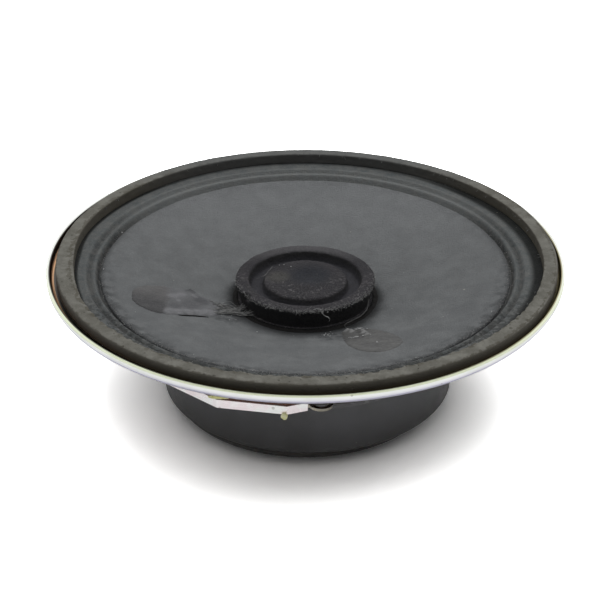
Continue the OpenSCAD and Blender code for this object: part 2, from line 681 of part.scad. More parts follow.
// Solder beads on the cone, level underneath with the cone's face
module cone_bead(p, grow) intersection() {
    translate([p[0], p[1], z_neck]) cylinder(h = cone_depth, d = cone_bead_d + 2 * grow);
    on_cone(norm(p) - cone_bead_d, norm(p) + cone_bead_d, bond, cone_bead_h + grow);
}
module lead_joints() color([0.72, 0.72, 0.7]) {
    cone_bead(left_joint, 0);
    cone_bead(right_joint, 0);
}

// Adhesive patches: an oval over the solder bead and a tail that runs towards the cap. Each stops
// where its bare wire starts, some way from the glue round the cap
left_wire_l = 1.9;
right_wire_l = 0.8;
left_patch_r = foot_r + glue_w + left_wire_l;
right_patch_r = foot_r + glue_w + right_wire_l;
crown_share = 0.7;
module column(outline) linear_extrude(z_front) polygon(outline);
module patch(middle, size, a, tail, start_r, joint) difference() {
    union() {
        intersection() {
            union() {
                translate(middle) column(oval(size[0], size[1], a));
                column(tail);
            }
            on_cone(start_r, cone_r - cone_seat, bond, patch_edge_t);
        }
        intersection() {
            translate(middle) column(oval(size[0] * crown_share, size[1] * crown_share, a));
            on_cone(start_r, cone_r - cone_seat, bond, patch_t);
        }
    }
    translate([0, 0, -eps]) cone_bead(joint, bond + eps);
}
left_patch_middle = [-15, -4.2];
left_patch_size = [7.6, 5.8];
left_patch_angle = 12;
left_patch_tail = [[-13, -1.2], [-9, -3.2], [-8.6, -5.2], [-10, -6.1], [-13, -7]];
right_patch_middle = [7.1, -12.6];
right_patch_size = [6.8, 5.6];
right_patch_angle = -20;
right_patch_tail = [[4, -12], [4.2, -8], [5, -7], [7.4, -9], [8, -11]];
module lead_patch_left() color([0.2, 0.2, 0.21]) {
    patch(left_patch_middle, left_patch_size, left_patch_angle, left_patch_tail, left_patch_r, left_joint);
}
module lead_patch_right() color([0.26, 0.26, 0.27]) {
    patch(right_patch_middle, right_patch_size, right_patch_angle, right_patch_tail, right_patch_r,
        right_joint);
}

// Tubes swept along a smooth curve through chosen points
function curve_point(p, i, t) =
    let (a = p[max(i - 1, 0)], b = p[i], c = p[i + 1], d = p[min(i + 2, len(p) - 1)])
    0.5 * (2 * b + (c - a) * t + (2 * a - 5 * b + 4 * c - d) * t * t + (3 * b - a - 3 * c + d) * t * t * t);
function curve(p, steps) = concat(
    [for (i = [0 : len(p) - 2], k = [0 : steps - 1]) curve_point(p, i, k / steps)], [p[len(p) - 1]]);
function along(p, i) = unit(p[min(i + 1, len(p) - 1)] - p[max(i - 1, 0)]);
function square_to(v, from) = unit(from - (from * v) * v);
function frames(p, i = 0, last = [1, 0, 0]) = i == len(p) ? [] :
    let (n = square_to(along(p, i), last)) concat([n], frames(p, i + 1, n));
module tube(p, d, sides = 8) {
    rings = len(p);
    n = frames(p, 0, [0.3, 1, 0.2]);
    points = [for (i = [0 : rings - 1], k = [0 : sides - 1])
        p[i] + d / 2 * (cos(360 * k / sides) * n[i] + sin(360 * k / sides) * cross(along(p, i), n[i]))];
    walls = [for (i = [0 : rings - 2], k = [0 : sides - 1])
        let (a = i * sides + k, b = i * sides + (k + 1) % sides)
        each [[a, a + sides, b], [b, a + sides, b + sides]]];
    first = [for (k = [1 : sides - 2]) [0, k, k + 1]];
    end = (rings - 1) * sides;
    last = [for (k = [1 : sides - 2]) [end, end + k + 1, end + k]];
    polyhedron(points = points, faces = concat(walls, first, last));
}

// Routes of the flexible leads, from the cone's holes to the lugs, by points chosen by hand
tinsel_steps = 4;
function lead_start(p) = [for (drop = [free_gap, 2 * cone_t]) [p[0], p[1], z_cone(norm(p)) - drop]];
function lead_end(x) = [terminal_point(x, lug_reach, z_lug + lug_bead_h + tinsel_d / 2 + bond)];
left_sag = [[-12.7, -6.2, 11.9], [-12.2, -11.2, 12], [-11, -15.6, 12.7]];
right_sag = [[5.8, -12.4, 12], [4.9, -15.2, 12], [2.6, -18, 12.7]];
left_route = concat(lead_start(left_joint), left_sag, lead_end(-lug_bead_x));
right_route = concat(lead_start(right_joint), right_sag, lead_end(lug_bead_x));
module tinsel_lead_left() color([0.7, 0.45, 0.3]) tube(curve(left_route, tinsel_steps), tinsel_d);
module tinsel_lead_right() color([0.7, 0.45, 0.3]) tube(curve(right_route, tinsel_steps), tinsel_d);

// Routes of the coil's wires: down the cap's wall, over its glue and along the cone to the adhesive
wire_steps = 4;
wire_lift = bond + coil_wire_d / 2;
function on_cap(a, rise) =
    let (r = wall_foot_r + cap_lean * (z_neck + rise - z_foot) + coil_wire_d)
    [r * cos(a), r * sin(a), z_neck + rise];
function on_face(a, r, lift) = [r * cos(a), r * sin(a), z_cone(r) + lift];
function over_glue(a) = on_face(a, foot_r + glue_w * 0.6, glue_h + bond + coil_wire_d);
right_wire = [on_cap(-14, 0.8 * brim_rise), on_cap(-20, 0.6 * brim_rise), on_cap(-33, 0.34 * brim_rise),
    over_glue(-47), on_face(-57, right_patch_r - coil_wire_d, wire_lift)];
left_wire = [on_cap(206, 0.34 * brim_rise), over_glue(204),
    on_face(202, foot_r + glue_w + 3 * coil_wire_d, wire_lift),
    on_face(199, left_patch_r - coil_wire_d, wire_lift)];
module coil_lead_right() color([0.45, 0.3, 0.22]) tube(curve(right_wire, wire_steps), coil_wire_d);
module coil_lead_left() color([0.45, 0.3, 0.22]) tube(curve(left_wire, wire_steps), coil_wire_d);

back_yoke();
magnet();
top_plate();
basket();
basket_rivets();
gasket();
surround();
cone();
dust_cap();
cap_glue();
neck_glue();
voice_coil_former();
coil_winding();
spider();
terminal_board();
board_rivet();
lug_rivets();
terminal_lug_right();
terminal_lug_left();
solder_joints();
lead_joints();
lead_patch_left();
lead_patch_right();
coil_lead_left();
coil_lead_right();
tinsel_lead_left();
tinsel_lead_right();
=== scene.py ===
# %% [markdown]
# # A small loudspeaker driver
#
# The driver lies face up on its magnet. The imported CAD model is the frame: it has every size and place, and it
# keeps the rigid metal and ferrite parts. This lesson gives all of it a finish, and builds in fine mesh what a
# plain solid can't show: paper, cloth, fibre board, glue, solder and wire.
#
# Blender works in metres. The sizes below are written in millimetres, as on a drawing, and multiplied by MM.

import math
import random

import bpy
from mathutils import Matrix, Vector, noise


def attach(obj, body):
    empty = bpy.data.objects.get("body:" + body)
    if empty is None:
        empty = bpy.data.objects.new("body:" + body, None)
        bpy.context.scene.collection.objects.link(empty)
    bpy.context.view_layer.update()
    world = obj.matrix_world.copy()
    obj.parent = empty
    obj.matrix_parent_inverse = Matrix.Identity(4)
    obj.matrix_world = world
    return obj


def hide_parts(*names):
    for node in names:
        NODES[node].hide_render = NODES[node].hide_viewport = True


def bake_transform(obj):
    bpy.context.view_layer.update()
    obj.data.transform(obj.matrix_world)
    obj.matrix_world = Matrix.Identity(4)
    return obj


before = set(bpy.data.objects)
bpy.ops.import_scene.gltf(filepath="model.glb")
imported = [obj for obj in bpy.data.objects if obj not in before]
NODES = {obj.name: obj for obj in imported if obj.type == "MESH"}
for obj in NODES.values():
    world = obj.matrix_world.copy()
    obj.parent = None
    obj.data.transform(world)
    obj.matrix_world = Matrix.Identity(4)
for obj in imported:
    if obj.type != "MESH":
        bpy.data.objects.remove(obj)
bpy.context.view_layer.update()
scene = bpy.context.scene
scene.view_settings.view_transform = "Standard"
MM = 0.001

# %% [markdown]
# ## The camera
#
# The photograph is a close view from a little above the rim, straight on. The camera's place was worked out from
# the outlines of the rim, the board ring and the magnet: 29.3 degrees above the table, about 216 mm from the
# middle of the rim. A camera in Blender looks along its own -Z, so it is tipped up from straight down.

# %% Place the camera
VIEW_HEIGHT = 29.313
LENS, SENSOR = 112.69, 36
CAMERA_PLACE = Vector((-0.583, -183.11, 114.08)) * MM
camera_data = bpy.data.cameras.new("camera")
camera_data.lens = LENS
camera_data.sensor_width = SENSOR
camera = bpy.data.objects.new("camera", camera_data)
camera.location = CAMERA_PLACE
camera.rotation_euler = (math.radians(90 - VIEW_HEIGHT), 0, 0)
scene.collection.objects.link(camera)
scene.camera = camera
print("camera at", [round(c / MM, 1) for c in camera.location], "mm")

# %% [markdown]
# ## Helpers for materials
#
# Light, table and finishes are all node recipes, so the helpers come first. `put` adds a node and fills its
# sockets, `calc` is a step of arithmetic and `fade` a soft edge. `tint` lays a colour over the finish where a mask
# is 1, `relief` adds a height to the surface, and `polish` varies the roughness. Patterns read the Object
# coordinates, scaled so that 1 is a millimetre.

# %% Helpers for materials
def paint(red, green, blue):
    """A colour as read off a picture, 0 to 255, turned into the linear values that shaders want."""
    def linear(v):
        v /= 255
        return v / 12.92 if v <= 0.04045 else ((v + 0.055) / 1.055) ** 2.4
    return (linear(red), linear(green), linear(blue), 1)


def put(tree, kind, sockets=None, **settings):
    """Adds a node. A socket gets a plain value, or a link where another node's output is given."""
    node = tree.nodes.new(kind)
    for key, value in settings.items():
        setattr(node, key, value)
    for key, value in (sockets or {}).items():
        if isinstance(value, bpy.types.NodeSocket):
            tree.links.new(value, node.inputs[key])
        else:
            node.inputs[key].default_value = value
    return node


def calc(tree, operation, *values):
    """One step of arithmetic."""
    return put(tree, "ShaderNodeMath", dict(enumerate(values)), operation=operation).outputs[0]


def both(tree, first, second):
    """A mask that is 1 only where both masks are."""
    return calc(tree, "MULTIPLY", first, second)


def fade(tree, value, start, end, low=0.0, high=1.0):
    """Goes smoothly from low to high while value goes from start to end."""
    sockets = {"Value": value, "From Min": start, "From Max": end, "To Min": low, "To Max": high}
    return put(tree, "ShaderNodeMapRange", sockets, interpolation_type="SMOOTHSTEP").outputs["Result"]


def mix(tree, share, below, above):
    """Blends two colours."""
    return put(tree, "ShaderNodeMix", {0: share, 6: below, 7: above}, data_type="RGBA").outputs[2]


def place(tree):
    """The point on the object, in millimetres."""
    coords = put(tree, "ShaderNodeTexCoord").outputs["Object"]
    return put(tree, "ShaderNodeMapping", {"Vector": coords, "Scale": (1 / MM, 1 / MM, 1 / MM)}).outputs[0]


def split(tree, vector):
    """The three parts of a vector, by their names X, Y and Z."""
    return put(tree, "ShaderNodeSeparateXYZ", {0: vector}).outputs


def seen_from_above(tree, at):
    """The point with its height left out, so that a spot becomes an upright column."""
    parts = split(tree, at)
    return put(tree, "ShaderNodeCombineXYZ", {"X": parts["X"], "Y": parts["Y"]}).outputs[0]


def length(tree, vector):
    """How long a vector is."""
    return put(tree, "ShaderNodeVectorMath", {0: vector}, operation="LENGTH").outputs["Value"]


def facing_up(tree):
    """How far the surface faces up, from -1 to 1."""
    return split(tree, put(tree, "ShaderNodeTexCoord").outputs["Normal"])["Z"]


def spot(tree, at, centre, reach):
    """1 at a point of the object, in millimetres, and 0 further than reach from it."""
    away = put(tree, "ShaderNodeVectorMath", {0: at, 1: centre}, operation="DISTANCE").outputs["Value"]
    return fade(tree, away, 0.35 * reach, reach, 1.0, 0.0)


def tint(tree, mask, colour, share=1.0):
    """Lays a colour, 0 to 255, over the finish, where the mask is 1."""
    socket = tree.nodes["Principled BSDF"].inputs["Base Color"]
    below = socket.links[0].from_socket if socket.links else tuple(socket.default_value)
    cover = calc(tree, "MULTIPLY", mask, share)
    tree.links.new(mix(tree, cover, below, paint(*colour)), socket)


def relief(tree, height, depth):
    """Adds a height to the surface. depth is in millimetres, for a height from 0 to 1."""
    socket = tree.nodes["Principled BSDF"].inputs["Normal"]
    bump = put(tree, "ShaderNodeBump", {"Height": height, "Distance": depth * MM})
    if socket.links:
        tree.links.new(socket.links[0].from_socket, bump.inputs["Normal"])
    tree.links.new(bump.outputs[0], socket)


def polish(tree, mask, low, high):
    """Roughness from low, where the mask is 0, to high, where it is 1."""
    tree.links.new(fade(tree, mask, 0.0, 1.0, low, high), tree.nodes["Principled BSDF"].inputs["Roughness"])


print("helpers ready; mid grey is", round(paint(119, 119, 119)[0], 3), "in linear light")

# %% [markdown]
# ## The table and the light
#
# The driver was photographed in a white tent: light from overhead and from all sides but the tent's opening, where
# the camera stands, and a pale table that throws it back up under the rim. The world is the tent, darker towards
# the camera and darkest low down, and one large lamp is its top. To the camera and in reflections the world is
# plain white.
#
# To the camera, and through clear parts, the table is drawn as an overexposed photograph shows it: the same shading
# with a gain, so that it is white wherever it sees most of the sky. The Ambient Occlusion node darkens it close to
# the driver, where the shadow is deepest. The Light Path node tells the rays apart, so no more light falls on the
# object.

# %% Make the world and the lamp
TENT_GREY = 0.7
OPENING_SHADE = 0.95
OPENING_START, OPENING_EDGE = 0.1, -0.6
OPENING_LOWER = 0.2
LAMP_SIZE, LAMP_POWER = 520, 1.35
LAMP_PLACE = Vector((30, 10, 430)) * MM
WHITE = (1, 1, 1, 1)


def is_ray(tree, *kinds):
    """1 for rays of these kinds, by the names on the Light Path node."""
    path = put(tree, "ShaderNodeLightPath").outputs
    either = path[kinds[0]]
    for kind in kinds[1:]:
        either = calc(tree, "MAXIMUM", either, path[kind])
    return either


def straight(tree, value, start, end, low, high):
    """Goes in a straight line from low to high while value goes from start to end."""
    sockets = {"Value": value, "From Min": start, "From Max": end, "To Min": low, "To Max": high}
    return put(tree, "ShaderNodeMapRange", sockets).outputs["Result"]


world = bpy.data.worlds.new("tent")
world.use_nodes = True
scene.world = world
tree = world.node_tree
way = split(tree, put(tree, "ShaderNodeTexCoord").outputs["Generated"])
toward = calc(tree, "MULTIPLY_ADD", way["Z"], OPENING_LOWER, way["Y"])
opening = straight(tree, toward, OPENING_START, OPENING_EDGE, 1, 1 - OPENING_SHADE)
sky = tree.nodes["Background"]
sky.inputs["Color"].default_value = WHITE
tree.links.new(calc(tree, "MULTIPLY", opening, TENT_GREY), sky.inputs["Strength"])
white = put(tree, "ShaderNodeBackground", {"Color": WHITE})
seen = is_ray(tree, "Is Camera Ray", "Is Glossy Ray", "Is Transmission Ray")
pick = put(tree, "ShaderNodeMixShader", {0: seen, 1: sky.outputs[0], 2: white.outputs[0]})
tree.links.new(pick.outputs[0], tree.nodes["World Output"].inputs["Surface"])

lamp_data = bpy.data.lights.new("tent_top", "AREA")
lamp_data.size = LAMP_SIZE * MM
lamp_data.energy = LAMP_POWER
lamp = bpy.data.objects.new("tent_top", lamp_data)
lamp.location = LAMP_PLACE
lamp.rotation_euler = (-lamp.location).to_track_quat("-Z", "Y").to_euler()
scene.collection.objects.link(lamp)
print("lamp", LAMP_POWER, "W, tent", TENT_GREY)

# %% Make the table
TABLE_SIZE, TABLE_DROP = 3, 0.02
TABLE_TONE = 0.86
TABLE_GAIN = 3.3
FOOT_REACH, FOOT_SHADE = 25, 0.26
FOOT_DARK, FOOT_CLEAR = 0.2, 0.55
bpy.ops.object.select_all(action="DESELECT")
bpy.ops.mesh.primitive_plane_add(size=TABLE_SIZE, location=(0, 0, -TABLE_DROP * MM))
table = bpy.context.object
table.name = "table"
cloth = bpy.data.materials.new("table_white")
cloth.use_nodes = True
tree = cloth.node_tree
paper = tree.nodes["Principled BSDF"]
table_sockets = {"Base Color": (TABLE_TONE, TABLE_TONE, TABLE_TONE, 1), "Roughness": 1, "Specular IOR Level": 0}
for key, value in table_sockets.items():
    paper.inputs[key].default_value = value
nook = put(tree, "ShaderNodeAmbientOcclusion", {"Distance": FOOT_REACH * MM}).outputs["AO"]
layer_gain = TABLE_GAIN / 2
depth = straight(tree, nook, FOOT_DARK, FOOT_CLEAR, FOOT_SHADE * layer_gain, layer_gain)
layers = [put(tree, "ShaderNodeBsdfDiffuse", {"Color": depth}).outputs[0] for _ in range(2)]
lit = put(tree, "ShaderNodeAddShader", dict(enumerate(layers)))
seen = is_ray(tree, "Is Camera Ray", "Is Transmission Ray")
pick = put(tree, "ShaderNodeMixShader", {0: seen, 1: paper.outputs[0], 2: lit.outputs[0]})
tree.links.new(pick.outputs[0], tree.nodes["Material Output"].inputs["Surface"])
table.data.materials.append(cloth)
print("table", table.name, "gain", TABLE_GAIN)

# %% [markdown]
# ## Effects shared by several finishes
#
# An effect that comes back in more than one material is a node group, built once: mottled tone, fine fibres, dust
# specks, worn edges and rings left by turning. A group puts out only values, and each material feeds it its own
# sizes.

# %% Node groups
NUMBER, POINT = "NodeSocketFloat", "NodeSocketVector"


def new_group(name, inputs, outputs):
    """An empty node group with its sockets, and where its values come in and go out."""
    group = bpy.data.node_groups.new(name, "ShaderNodeTree")
    for label, kind in inputs.items():
        group.interface.new_socket(label, in_out="INPUT", socket_type=kind)
    for label, kind in outputs.items():
        group.interface.new_socket(label, in_out="OUTPUT", socket_type=kind)
    return group, group.nodes.new("NodeGroupInput").outputs, group.nodes.new("NodeGroupOutput").inputs


def use(tree, group, output=0, **sockets):
    """Places a node group and gives one of its outputs."""
    named = {key.replace("_", " "): value for key, value in sockets.items()}
    return put(tree, "ShaderNodeGroup", named, node_tree=group).outputs[output]


MOTTLE, given, result = new_group(
    "mottle", {"Place": POINT, "Scale": NUMBER, "Detail": NUMBER, "Spread": NUMBER}, {"Value": NUMBER})
cloud = put(MOTTLE, "ShaderNodeTexNoise", {
    "Vector": given["Place"], "Scale": given["Scale"], "Detail": given["Detail"], "Roughness": 0.6})
low = calc(MOTTLE, "SUBTRACT", 0.5, given["Spread"])
high = calc(MOTTLE, "ADD", 0.5, given["Spread"])
MOTTLE.links.new(fade(MOTTLE, cloud.outputs[0], low, high), result["Value"])

FIBRES, given, result = new_group(
    "fibres", {"Place": POINT, "Scale": NUMBER, "Width": NUMBER}, {"Value": NUMBER})
threads = []
for shift in ((0, 0, 0), (31, 17, 5)):
    moved = put(FIBRES, "ShaderNodeVectorMath", {0: given["Place"], 1: shift}, operation="ADD")
    wave = put(FIBRES, "ShaderNodeTexNoise", {
        "Vector": moved.outputs[0], "Scale": given["Scale"], "Detail": 1.5, "Distortion": 0.8})
    off = calc(FIBRES, "ABSOLUTE", calc(FIBRES, "SUBTRACT", wave.outputs[0], 0.5))
    threads.append(fade(FIBRES, off, 0.0, given["Width"], 1.0, 0.0))
FIBRES.links.new(calc(FIBRES, "MAXIMUM", *threads), result["Value"])

SPECKS, given, result = new_group(
    "specks", {"Place": POINT, "Scale": NUMBER, "Size": NUMBER, "Share": NUMBER}, {"Mask": NUMBER})
cells = put(SPECKS, "ShaderNodeTexVoronoi", {"Vector": given["Place"], "Scale": given["Scale"]})
chance = split(SPECKS, cells.outputs["Color"])
reach = calc(SPECKS, "MULTIPLY", given["Size"], chance["Y"])
dot = fade(SPECKS, cells.outputs["Distance"], calc(SPECKS, "MULTIPLY", reach, 0.5), reach, 1.0, 0.0)
chosen = calc(SPECKS, "LESS_THAN", chance["X"], given["Share"])
SPECKS.links.new(calc(SPECKS, "MULTIPLY", dot, chosen), result["Mask"])

WEAR, given, result = new_group(
    "worn edge", {"Place": POINT, "Radius": NUMBER, "Height": NUMBER, "Reach": NUMBER}, {"Mask": NUMBER})
off = put(WEAR, "ShaderNodeCombineXYZ", {
    "X": calc(WEAR, "SUBTRACT", length(WEAR, seen_from_above(WEAR, given["Place"])), given["Radius"]),
    "Y": calc(WEAR, "SUBTRACT", split(WEAR, given["Place"])["Z"], given["Height"])})
gap = length(WEAR, off.outputs[0])
ragged = put(WEAR, "ShaderNodeTexNoise", {"Vector": given["Place"], "Scale": 1.6, "Detail": 4.0})
allowed = calc(WEAR, "MULTIPLY", given["Reach"], fade(WEAR, ragged.outputs[0], 0.4, 0.68))
WEAR.links.new(fade(WEAR, gap, calc(WEAR, "MULTIPLY", allowed, 0.5), allowed, 1.0, 0.0), result["Mask"])

RINGS, given, result = new_group("rings", {"Place": POINT, "Scale": NUMBER}, {"Radius": NUMBER, "Value": NUMBER})
around = length(RINGS, seen_from_above(RINGS, given["Place"]))
across = put(RINGS, "ShaderNodeCombineXYZ", {"X": around, "Z": split(RINGS, given["Place"])["Z"]})
line = put(RINGS, "ShaderNodeTexNoise", {"Vector": across.outputs[0], "Scale": given["Scale"], "Detail": 3.0})
RINGS.links.new(around, result["Radius"])
RINGS.links.new(line.outputs[0], result["Value"])
print("groups", [g.name for g in bpy.data.node_groups])


def finish(name, dark, light, scale, spread=0.18, detail=3.0, **constants):
    """A Principled material, mottled between two colours. constants are the shader's own sockets."""
    material = bpy.data.materials.new(name)
    material.use_nodes = True
    tree = material.node_tree
    shader = tree.nodes["Principled BSDF"]
    for key, value in constants.items():
        shader.inputs[key.replace("_", " ")].default_value = value
    at = place(tree)
    mottled = use(tree, MOTTLE, Place=at, Scale=scale, Detail=detail, Spread=spread)
    tree.links.new(mix(tree, mottled, paint(*dark), paint(*light)), shader.inputs["Base Color"])
    return material, tree, at, mottled


# %% [markdown]
# ## Ferrite
#
# The magnet is pressed and fired ceramic: a dark blue grey with a soft shine from grinding, a fine sandy grain, and
# small chips along its brittle edges, where the fresh break is a shade lighter. A bump gives the grain, and the
# worn edge group finds the two outer edges by their radius and height. Its lower half is painted darker, as
# painted shade for the dark table it reflects near its foot.

# %% Ferrite
MAGNET_R = 16.25
MAGNET_LOW, MAGNET_HIGH = 1.45, 7.45
FERRITE_IOR = 1.87
ferrite, tree, at, mottled = finish(
    "ferrite", (25, 26, 31), (37, 38, 44), 0.35, IOR=FERRITE_IOR)
sand = use(tree, MOTTLE, Place=at, Scale=9.0, Detail=5.0, Spread=0.3)
relief(tree, sand, 0.01)
polish(tree, mottled, 0.28, 0.4)
# Painted shade: the lower half is painted darker, for the dark table it reflects near its foot.
low_painted_shade = fade(tree, split(tree, at)["Z"], 1.3, 5.6, 1.0, 0.0)
tint(tree, low_painted_shade, (3, 3, 3))
for level in (MAGNET_LOW, MAGNET_HIGH):
    chips = use(tree, WEAR, Place=at, Radius=MAGNET_R, Height=level, Reach=0.45)
    tint(tree, chips, (96, 97, 100), 0.5)
dust = use(tree, SPECKS, Place=at, Scale=1.3, Size=0.13, Share=0.12)
tint(tree, dust, (130, 128, 122), 0.5)
print("made", ferrite.name)

# %% [markdown]
# ## Plated steel
#
# The two plates of the motor and the clenched studs are turned or stamped steel with a thin zinc plating. It
# reflects, but softly, and the fine rings left by turning show in it. Spots of dull oxide break up the shine. The
# back plate, which no one sees once the driver is built in, gets a darker and duller copy of that finish, with a
# pale brown line painted along its seam as a highlight.

# %% Plated steel
plated, tree, at, mottled = finish(
    "plated_steel", (176, 174, 168), (206, 205, 200), 0.5, Metallic=1.0)
turning = use(tree, RINGS, 1, Place=at, Scale=9.0)
relief(tree, turning, 0.006)
polish(tree, turning, 0.26, 0.5)
dull = use(tree, MOTTLE, Place=at, Scale=0.9, Detail=6.0, Spread=0.08)
tint(tree, dull, (150, 146, 138), 0.35)

# The back plate gets a darker, duller copy of the plated finish.
dull_plate, tree, at, mottled = finish(
    "dark_dull_steel", (66, 65, 64), (84, 82, 79), 0.7, Specular_IOR_Level=0.5)
relief(tree, use(tree, RINGS, 1, Place=at, Scale=9.0), 0.005)
polish(tree, mottled, 0.5, 0.7)
# Painted highlight: a pale brown line along the top edge of the back plate, at its seam with the magnet.
seam_mottle = use(tree, MOTTLE, Place=at, Scale=0.5, Detail=5.0, Spread=0.1)
seam_highlight = both(tree, seam_mottle, fade(tree, split(tree, at)["Z"], 1.22, 1.36))
tint(tree, seam_highlight, (142, 120, 92), 0.8)
print("made", plated.name, dull_plate.name)

# %% [markdown]
# ## The basket's steel
#
# The basket is pressed from thin bright-plated sheet. Its metal is nearly white, because it mirrors the white table
# and tent, and the press has drawn fine lines in it. The plating has the faint tints of passivated zinc: pink in
# patches on the terminal tab, yellow green along the rim's upper edge and violet below it. The gap inside the rim
# is painted dark, as shade in the recess, but olive at the right, and a painted highlight line runs along it,
# copper at the left.

# %% Basket steel
basket_steel, tree, at, mottled = finish(
    "basket_steel", (240, 242, 239), (250, 251, 250), 0.22, Metallic=1.0)
RIM_INSIDE, TAB_INSIDE, RIM_TOP, HIGHLIGHT_LINE_R = 28.25, 23.6, 16.44, 27.8
radius = use(tree, RINGS, 0, Place=at, Scale=1.0)
parts = split(tree, at)
blush = use(tree, MOTTLE, Place=at, Scale=0.45, Detail=2.0, Spread=0.12)
on_tab = fade(tree, radius, TAB_INSIDE - 0.6, TAB_INSIDE, 1.0, 0.0)
tint(tree, both(tree, on_tab, blush), (240, 216, 222), 0.5)
at_front = fade(tree, parts["Y"], -14.0, 2.0, 1.0, 0.15)
on_top = both(tree, fade(tree, parts["Z"], RIM_TOP - 0.16, RIM_TOP - 0.03), at_front)
tint(tree, on_top, (216, 224, 186), 0.75)
below = both(tree, fade(tree, radius, 28.0, 28.3), fade(tree, parts["Z"], 15.65, 16.2, 1.0, 0.0))
tint(tree, below, (200, 198, 222), 0.85)
within = fade(tree, radius, RIM_INSIDE - 0.1, RIM_INSIDE, 1.0, 0.0)
inside = both(tree, fade(tree, radius, 27.2, 27.4), within)
# Painted shade: the gap inside the rim is painted dark.
tint(tree, inside, (46, 40, 32), 0.95)
right_side = fade(tree, parts["X"], 10.0, 20.0)
tint(tree, both(tree, inside, right_side), (176, 168, 130), 0.9)
# Painted highlight: a pale line along the lip's inner corner, copper at the left.
line_gap = calc(tree, "ABSOLUTE", calc(tree, "SUBTRACT", radius, HIGHLIGHT_LINE_R))
highlight_line = both(tree, inside, fade(tree, line_gap, 0.08, 0.2, 1.0, 0.0))
tint(tree, highlight_line, (156, 146, 112), 0.9)
left_side = fade(tree, parts["X"], -20.0, -14.0, 1.0, 0.0)
tint(tree, both(tree, highlight_line, left_side), (214, 164, 124), 0.9)
drawn = use(tree, RINGS, 1, Place=at, Scale=6.0)
relief(tree, drawn, 0.004)
polish(tree, drawn, 0.2, 0.42)
grime = use(tree, SPECKS, Place=at, Scale=0.9, Size=0.25, Share=0.15)
tint(tree, grime, (120, 116, 104), 0.4)
print("made", basket_steel.name)

# %% [markdown]
# ## Fibre board
#
# The gasket ring is punched from grey board. Its pressed face is a warm grey with dark pits, the punched walls
# are nearly black and fibrous, and lint sits on the face. The finish tells face from wall by the normal. The far
# side of the ring is painted a little darker and bluer than the near one, as painted shade.

# %% Fibre board
GASKET_IN, GASKET_OUT = 25.85, 27.4
GASKET_LOW, GASKET_HIGH = 15.95, 17.19
board, tree, at, mottled = finish(
    "fibre_board", (96, 95, 89), (112, 111, 105), 0.7, Specular_IOR_Level=0.2)
up = facing_up(tree)
radius = use(tree, RINGS, 0, Place=at, Scale=1.0)
parts = split(tree, at)
smudge = use(tree, MOTTLE, Place=at, Scale=0.35, Detail=6.0, Spread=0.1)
tint(tree, calc(tree, "SUBTRACT", 1.0, smudge), (78, 76, 69), 0.45)
pits = use(tree, SPECKS, Place=at, Scale=1.1, Size=0.32, Share=0.3)
tint(tree, pits, (52, 49, 42), 0.6)
lint = use(tree, FIBRES, Place=at, Scale=0.9, Width=0.008)
tint(tree, lint, (140, 138, 130), 0.25)
for edge_r, reach in ((GASKET_IN, 0.7), (GASKET_OUT, 0.4)):
    crumbled = use(tree, WEAR, Place=at, Radius=edge_r, Height=GASKET_HIGH, Reach=reach)
    tint(tree, crumbled, (66, 62, 53), 0.55)
wall = fade(tree, up, 0.45, 0.9, 1.0, 0.0)
tint(tree, wall, (76, 73, 67), 0.94)
low_wall = both(tree, wall, fade(tree, parts["Z"], 16.0, 16.7, 1.0, 0.0))
tint(tree, low_wall, (58, 51, 37), 0.8)
inner_wall = both(tree, wall, fade(tree, radius, 26.0, 26.4, 1.0, 0.0))
tint(tree, inner_wall, (84, 81, 73), 0.8)
# Painted shade: the far side of the ring is painted darker and bluer.
tint(tree, fade(tree, parts["Y"], 15.0, 25.0), (78, 82, 86), 0.5)
strands = use(tree, FIBRES, Place=at, Scale=2.4, Width=0.03)
relief(tree, strands, 0.01)
relief(tree, pits, -0.03)
polish(tree, mottled, 0.8, 0.95)
print("made", board.name)

# %% [markdown]
# ## Paper: cone, surround and cap
#
# All three are felted paper pulp, dyed black and gone grey. Under the lens it is a tangle of short fibres with a
# cloudy tone. The cone is the palest. Round the cap's foot it is dark with a glue stain and painted shade under the
# cap; it is painted darker in front, in mottled painted shade, and painted lighter at the back, as painted light.
# The surround is thinner, with painted shade in its grooves at the front, a crinkled front, rolls painted paler at
# the back as painted light, and a painted shadow along the foot of the gasket's wall. That shadow is laid on last,
# so that no grain shows through it. The cap is darker, a little purple, and painted lighter at the back as painted
# light. Its wall is nearly black, with black glue and painted shade under the brim, it is nearly black in its
# moat, and its front is furred with loose fibres.

# %% Paper
def paper_finish(name, dark, light, fibre_tone, fibre_share):
    """Felted pulp: cloudy tone, fine fibres in colour and height."""
    material, tree, at, mottled = finish(name, dark, light, 0.5, 0.16, 5.0, Specular_IOR_Level=0.2)
    hairs = use(tree, FIBRES, Place=at, Scale=2.2, Width=0.03)
    tint(tree, hairs, fibre_tone, fibre_share)
    felt = use(tree, MOTTLE, Place=at, Scale=5.0, Detail=5.0, Spread=0.22)
    tint(tree, calc(tree, "SUBTRACT", 1.0, felt), dark, 0.5)
    relief(tree, felt, 0.05)
    relief(tree, hairs, 0.012)
    polish(tree, mottled, 0.78, 0.92)
    return material, tree, at


cone_paper, tree, at = paper_finish("cone_paper", (93, 95, 96), (108, 110, 111), (122, 123, 122), 0.15)
radius = use(tree, RINGS, 0, Place=at, Scale=1.0)
parts = split(tree, at)
